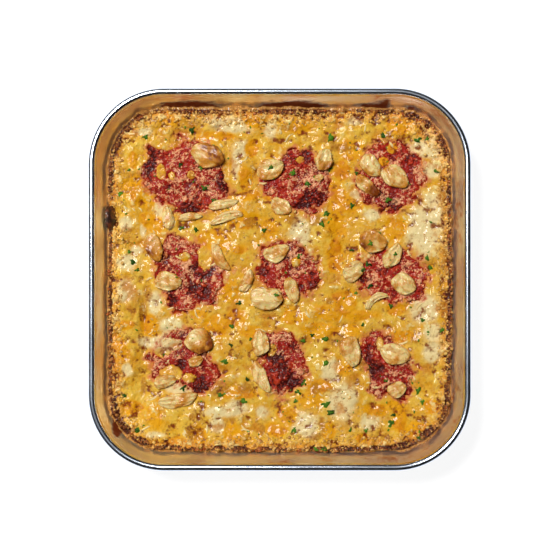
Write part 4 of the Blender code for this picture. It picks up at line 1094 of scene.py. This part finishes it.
def cheese_material():
    """Baked cheese: golden with pale mozzarella and orange cheddar, browned at the crust and in spots, oily so that
    small lights glint on it; painted shade darkens it between the grains, in low ground and in the crust's crags, a
    painted highlight lightens the tops, and a painted shadow runs along the crust's edge."""
    values = {"Coat_Weight": 0.3, "Coat_Roughness": 0.08, "Specular_IOR_Level": 0.15}
    material, tree, shader, coordinates = start_material("melted browned cheese", **values)
    wide = noise_of(tree, coordinates, 110, 5.0)
    middle = noise_of(tree, coordinates, 320, 5.0, 0.65)
    fine = noise_of(tree, coordinates, 1100, 4.0, 0.7)
    small = noise_of(tree, coordinates, 750, 3.0, 0.6)
    grain = attribute(tree, "grain")
    crust = attribute(tree, "crust")
    golden = frayed_mask(tree, wide, middle, 0.9, 0.3, 0.7)
    pale = frayed_mask(tree, attribute(tree, "pale"), middle, 0.7, -0.1, 0.95)
    cheddar = frayed_mask(tree, attribute(tree, "cheddar"), middle, 0.8, 0.05, 0.9)
    rich = add(tree, "ShaderNodeMath", {"operation": "MULTIPLY"}, {0: cheddar, 1: wide})
    deep = frayed_mask(tree, rich.outputs[0], middle, 0.5, 0.35, 0.75)
    # Folds' low ground: partly oily cheese, partly painted shade.
    valley = frayed_mask(tree, attribute(tree, "valley"), fine, 0.6, 0.1, 1.1)
    # Browner places: partly browned cheese, partly painted shade along low lines between folds.
    brown = frayed_mask(tree, attribute(tree, "brown"), small, 1.4, 0.2, 1.4)
    # Painted shade in the crust's low crags.
    crag_shade = frayed_mask(tree, attribute(tree, "crag_shade"), small, 1.2, 0.25, 1.05)
    toasted = frayed_mask(tree, crust, middle, 1.2, 0.3, 1.3)
    # Burnt: sauce burnt on at the crust's edge, and a painted shadow along the seam at the wall.
    burnt = frayed_mask(tree, attribute(tree, "burnt"), middle, 0.9, 0.2, 0.9)
    # Golden coat on the shoulder: partly oily, partly painted reflection standing in for the golden wall.
    film_and_wall_reflection = frayed_mask(tree, attribute(tree, "film_and_wall_reflection"), middle, 0.4, 0.3, 0.7)
    pink = frayed_mask(tree, attribute(tree, "pink"), middle, 1.4, 0.2, 1.3)
    browned = frayed_mask(tree, attribute(tree, "toasted"), small, 1.3, 0.4, 1.6)
    stained = frayed_mask(tree, attribute(tree, "sauce"), middle, 0.4, 0.02, 0.5)
    # Painted shade: darker between the grains.
    hollow_shade = frayed_mask(tree, grain, fine, 0.5, 0.55, 0.05)
    # Painted highlight on the tops of the knobs and grains.
    peak_highlight = frayed_mask(tree, attribute(tree, "peak_highlight"), small, 1.8, 0.25, 1.2)
    # Painted shade in the low ground of the knobs.
    cavity_shade = frayed_mask(tree, attribute(tree, "cavity_shade"), small, 1.6, 0.2, 1.1)
    speck = frayed_mask(tree, middle, fine, 0.6, 0.56, 0.75)
    # In this stack the folds' low ground and the browner places carry painted shade in part, and the crust's low crags
    # carry it wholly.
    colour = layered(tree, "#e6a41a", [
        ("#f4c644", golden),
        ("#e09c30", browned),
        ("#f8de9e", pale),
        ("#cc7c14", valley),
        ("#f4ac0c", cheddar),
        ("#de8404", deep),
        ("#c07a20", speck),
        ("#e09438", toasted),
        ("#b47018", brown),
        ("#de7850", pink),
        ("#b03c18", stained),
        ("#8a4012", crag_shade),
    ])
    # Painted shade, multiplied in: darker between the grains and in the low ground of the knobs.
    for mask, tint in ((hollow_shade, "#945618"), (cavity_shade, "#905014")):
        dark = add(tree, "ShaderNodeMix", {"data_type": "RGBA", "blend_type": "MULTIPLY", 7: linear(tint)})
        tree.links.new(mask, dark.inputs[0])
        tree.links.new(colour, dark.inputs[6])
        colour = dark.outputs[2]
    # Laid over the colour: a painted highlight on the tops, the shoulder's golden coat with its painted reflection, and
    # the burnt edge with its painted shadow.
    glint = add(tree, "ShaderNodeMath", {"operation": "MULTIPLY", 1: 0.75}, {0: peak_highlight})
    oily_film = layered(tree, "#e4ac5c", [("#8a4c1c", browned)])
    colour = layered(tree, colour, [("#ffeea4", glint.outputs[0]), (oily_film, film_and_wall_reflection), ("#501c0a", burnt)])
    tree.links.new(colour, shader.inputs["Base Color"])
    dull = add(tree, "ShaderNodeMapRange", {3: 0.32, 4: 0.6}, {0: fine})
    tree.links.new(dull.outputs[0], shader.inputs["Roughness"])
    bump_from(tree, shader, [(middle, 0.65, 0.001), (small, 0.8, 0.0005), (fine, 0.5, 0.0002)])
    return material


def sauce_material():
    """Crumbly baked tomato: red with brighter grains at random, deep red painted shade in the low ground and between
    the crumbs, pink where cheese dust lies.
    """
    values = {"Coat_Weight": 0.22, "Coat_Roughness": 0.15, "Specular_IOR_Level": 0.2}
    material, tree, shader, coordinates = start_material("crumbly tomato sauce", **values)
    middle = noise_of(tree, coordinates, 500, 4.0, 0.65)
    fine = noise_of(tree, coordinates, 1300, 3.0, 0.7)
    bright = frayed_mask(tree, attribute(tree, "tone"), fine, 0.7, 0.3, 0.9)
    dust = frayed_mask(tree, attribute(tree, "dust"), fine, 2.0, 0.4, 1.2)
    # Painted shade: deep red in the low ground and between the crumbs.
    hollow_shade = frayed_mask(tree, attribute(tree, "grain"), fine, 0.7, 0.6, 0.0)
    colour = layered(tree, "#a81c0c", [("#d04420", bright), ("#fabc88", dust), ("#480804", hollow_shade)])
    tree.links.new(colour, shader.inputs["Base Color"])
    dull = add(tree, "ShaderNodeMapRange", {3: 0.35, 4: 0.6}, {0: fine})
    tree.links.new(dull.outputs[0], shader.inputs["Roughness"])
    bump_from(tree, shader, [(middle, 0.7, 0.0007), (fine, 0.5, 0.0003)])
    return material


def garlic_material():
    """Roasted garlic: translucent cream yellow, golden brown where it has caught, faint stripes, oily."""
    values = {"Coat_Weight": 0.3, "Coat_Roughness": 0.15, "Specular_IOR_Level": 0.3}
    values.update(Subsurface_Weight=0.4, Subsurface_Scale=0.002, Subsurface_Radius=(1.0, 0.6, 0.3))
    material, tree, shader, coordinates = start_material("roasted garlic", **values)
    middle = noise_of(tree, coordinates, 350, 4.0)
    fine = noise_of(tree, coordinates, 1200, 3.0)
    roast = attribute(tree, "roast")
    golden = frayed_mask(tree, roast, middle, 0.6, 0.05, 0.55)
    brown = frayed_mask(tree, roast, middle, 0.6, 0.5, 1.0)
    stripe = frayed_mask(tree, attribute(tree, "stripe"), middle, 0.5, 0.6, 1.2)
    spots = frayed_mask(tree, middle, fine, 0.6, 0.54, 0.74)
    layers = [("#e8aa44", spots), ("#dc9430", golden), ("#d08c2c", stripe), ("#8a3f0a", brown)]
    colour = layered(tree, "#f9da90", layers)
    tree.links.new(colour, shader.inputs["Base Color"])
    dull = add(tree, "ShaderNodeMapRange", {3: 0.28, 4: 0.5}, {0: fine})
    tree.links.new(dull.outputs[0], shader.inputs["Roughness"])
    bump_from(tree, shader, [(middle, 1.0, 0.0009), (attribute(tree, "stripe"), 0.6, 0.0004), (fine, 0.5, 0.0003)])
    return material


def toned_material(name, dark, light, **values):
    """A small-thing material: two colours mixed by each piece's own tone and by noise."""
    material, tree, shader, coordinates = start_material(name, **values)
    fine = noise_of(tree, coordinates, 900, 3.0)
    tone = frayed_mask(tree, attribute(tree, "tone"), fine, 0.4, 0.0, 1.0)
    tree.links.new(layered(tree, light, [(dark, tone)]), shader.inputs["Base Color"])
    bump_from(tree, shader, [(fine, 0.4, 0.0003)])
    return material


def burnt_material():
    """Sauce burnt to a dark glossy glaze with duller specks."""
    material, tree, shader, coordinates = start_material("burnt sauce glaze", Coat_Weight=0.8, Coat_Roughness=0.06)
    middle = noise_of(tree, coordinates, 420, 5.0)
    mask = frayed_mask(tree, middle, middle, 1.0, 0.45, 0.7)
    tree.links.new(layered(tree, "#2c1208", [("#743818", mask)]), shader.inputs["Base Color"])
    bump_from(tree, shader, [(middle, 0.6, 0.0008)])
    return material


def floor_and_light():
    """A plain white floor, one soft light from the upper left, and a sky that is bright overhead and on that side
    and dark low on the other."""
    size = 1.6
    mesh = bpy.data.meshes.new("floor")
    corners = [(-size, -size, -0.0003), (size, -size, -0.0003), (size, size, -0.0003), (-size, size, -0.0003)]
    mesh.from_pydata(corners, [], [(0, 1, 2, 3)])
    material, tree, shader, _ = start_material("matt white floor", Roughness=0.9, Specular_IOR_Level=0.1)
    shader.inputs["Base Color"].default_value = linear("#bcbcbc")
    shader.inputs["Emission Color"].default_value = (1, 1, 1, 1)
    shader.inputs["Emission Strength"].default_value = 0.9
    mesh.materials.append(material)
    floor = bpy.data.objects.new("floor", mesh)
    bpy.context.scene.collection.objects.link(floor)

    toward = Vector((-0.28, 0.28, 1.0)).normalized()
    lamp = bpy.data.lights.new("key", "AREA")
    lamp.shape = "DISK"
    lamp.size = 0.45
    lamp.energy = 15.0
    key = bpy.data.objects.new("key", lamp)
    key.location = toward * 1.3
    key.rotation_euler = toward.to_track_quat("Z", "Y").to_euler()
    bpy.context.scene.collection.objects.link(key)

    world = bpy.data.worlds.new("studio")
    bpy.context.scene.world = world
    world.use_nodes = True
    tree = world.node_tree
    direction = add(tree, "ShaderNodeTexCoord").outputs["Generated"]
    side = add(tree, "ShaderNodeVectorMath", {"operation": "DOT_PRODUCT", 1: (-0.45, 0.42, 0.79)}, {0: direction})
    settings = {"interpolation_type": "SMOOTHSTEP", 1: 0.5, 2: 0.9, 3: 0.14, 4: 1.15}
    bright = add(tree, "ShaderNodeMapRange", settings, {0: side.outputs["Value"]})
    tree.links.new(bright.outputs[0], tree.nodes["Background"].inputs["Strength"])


def camera():
    """Straight above the tray, so that the frame is 300.4 mm wide at the rim."""
    data = bpy.data.cameras.new("camera")
    data.sensor_width = 36.0
    data.lens = 36.0 * CAMERA_ABOVE_RIM / (560 * RIM_MM_PER_PIXEL)
    made = bpy.data.objects.new("camera", data)
    made.location = (0.00016, -0.00027, (TRAY_HEIGHT + CAMERA_ABOVE_RIM) * MM)
    bpy.context.scene.collection.objects.link(made)
    bpy.context.scene.camera = made


def tree_of(made):
    """A search tree over a piece's faces, to drop things on it."""
    points = [point.co.copy() for point in made.data.vertices]
    return BVHTree.FromPolygons(points, [tuple(face.vertices) for face in made.data.polygons])


def main():
    floor_and_light()
    camera()
    bpy.context.scene.view_settings.view_transform = "Standard"
    cheese = cheese_material()
    sauce = sauce_material()
    garlic = garlic_material()
    oily = {"Coat_Weight": 0.25, "Coat_Roughness": 0.15, "Roughness": 0.5, "Specular_IOR_Level": 0.25}
    crumb = toned_material("browned crumbs", "#9c4810", "#f2c468", **oily)
    red_crumb = toned_material("tomato crumbs", "#eca878", "#a01c0e", **oily)
    burnt_crumb = toned_material("browned sauce crumbs", "#3c1408", "#a05a28", **oily)
    shred = toned_material("grated cheese", "#eab552", "#f5dc98", **oily)
    green = toned_material("chopped parsley", "#123404", "#5e901c", Roughness=0.55, Specular_IOR_Level=0.2)

    lying = [make_tray(foil_material()), make_bake(cheese)]
    lying += [make_sauce(name, sauce) for name in SAUCE]
    lying += [make_garlic(name, garlic) for name in GARLIC]
    make_burnt(burnt_material())
    crust_crumbs(crumb)
    cheese_crumbs(crumb)
    sauce_crumbs(red_crumb)
    cheese_shreds(shred)
    tops = [tree_of(made) for made in lying]
    edge_crumbs(burnt_crumb, tops[:2])
    parsley_leaves(LEAVES, green, tops)
    parsley_bits(green, tops)


main()
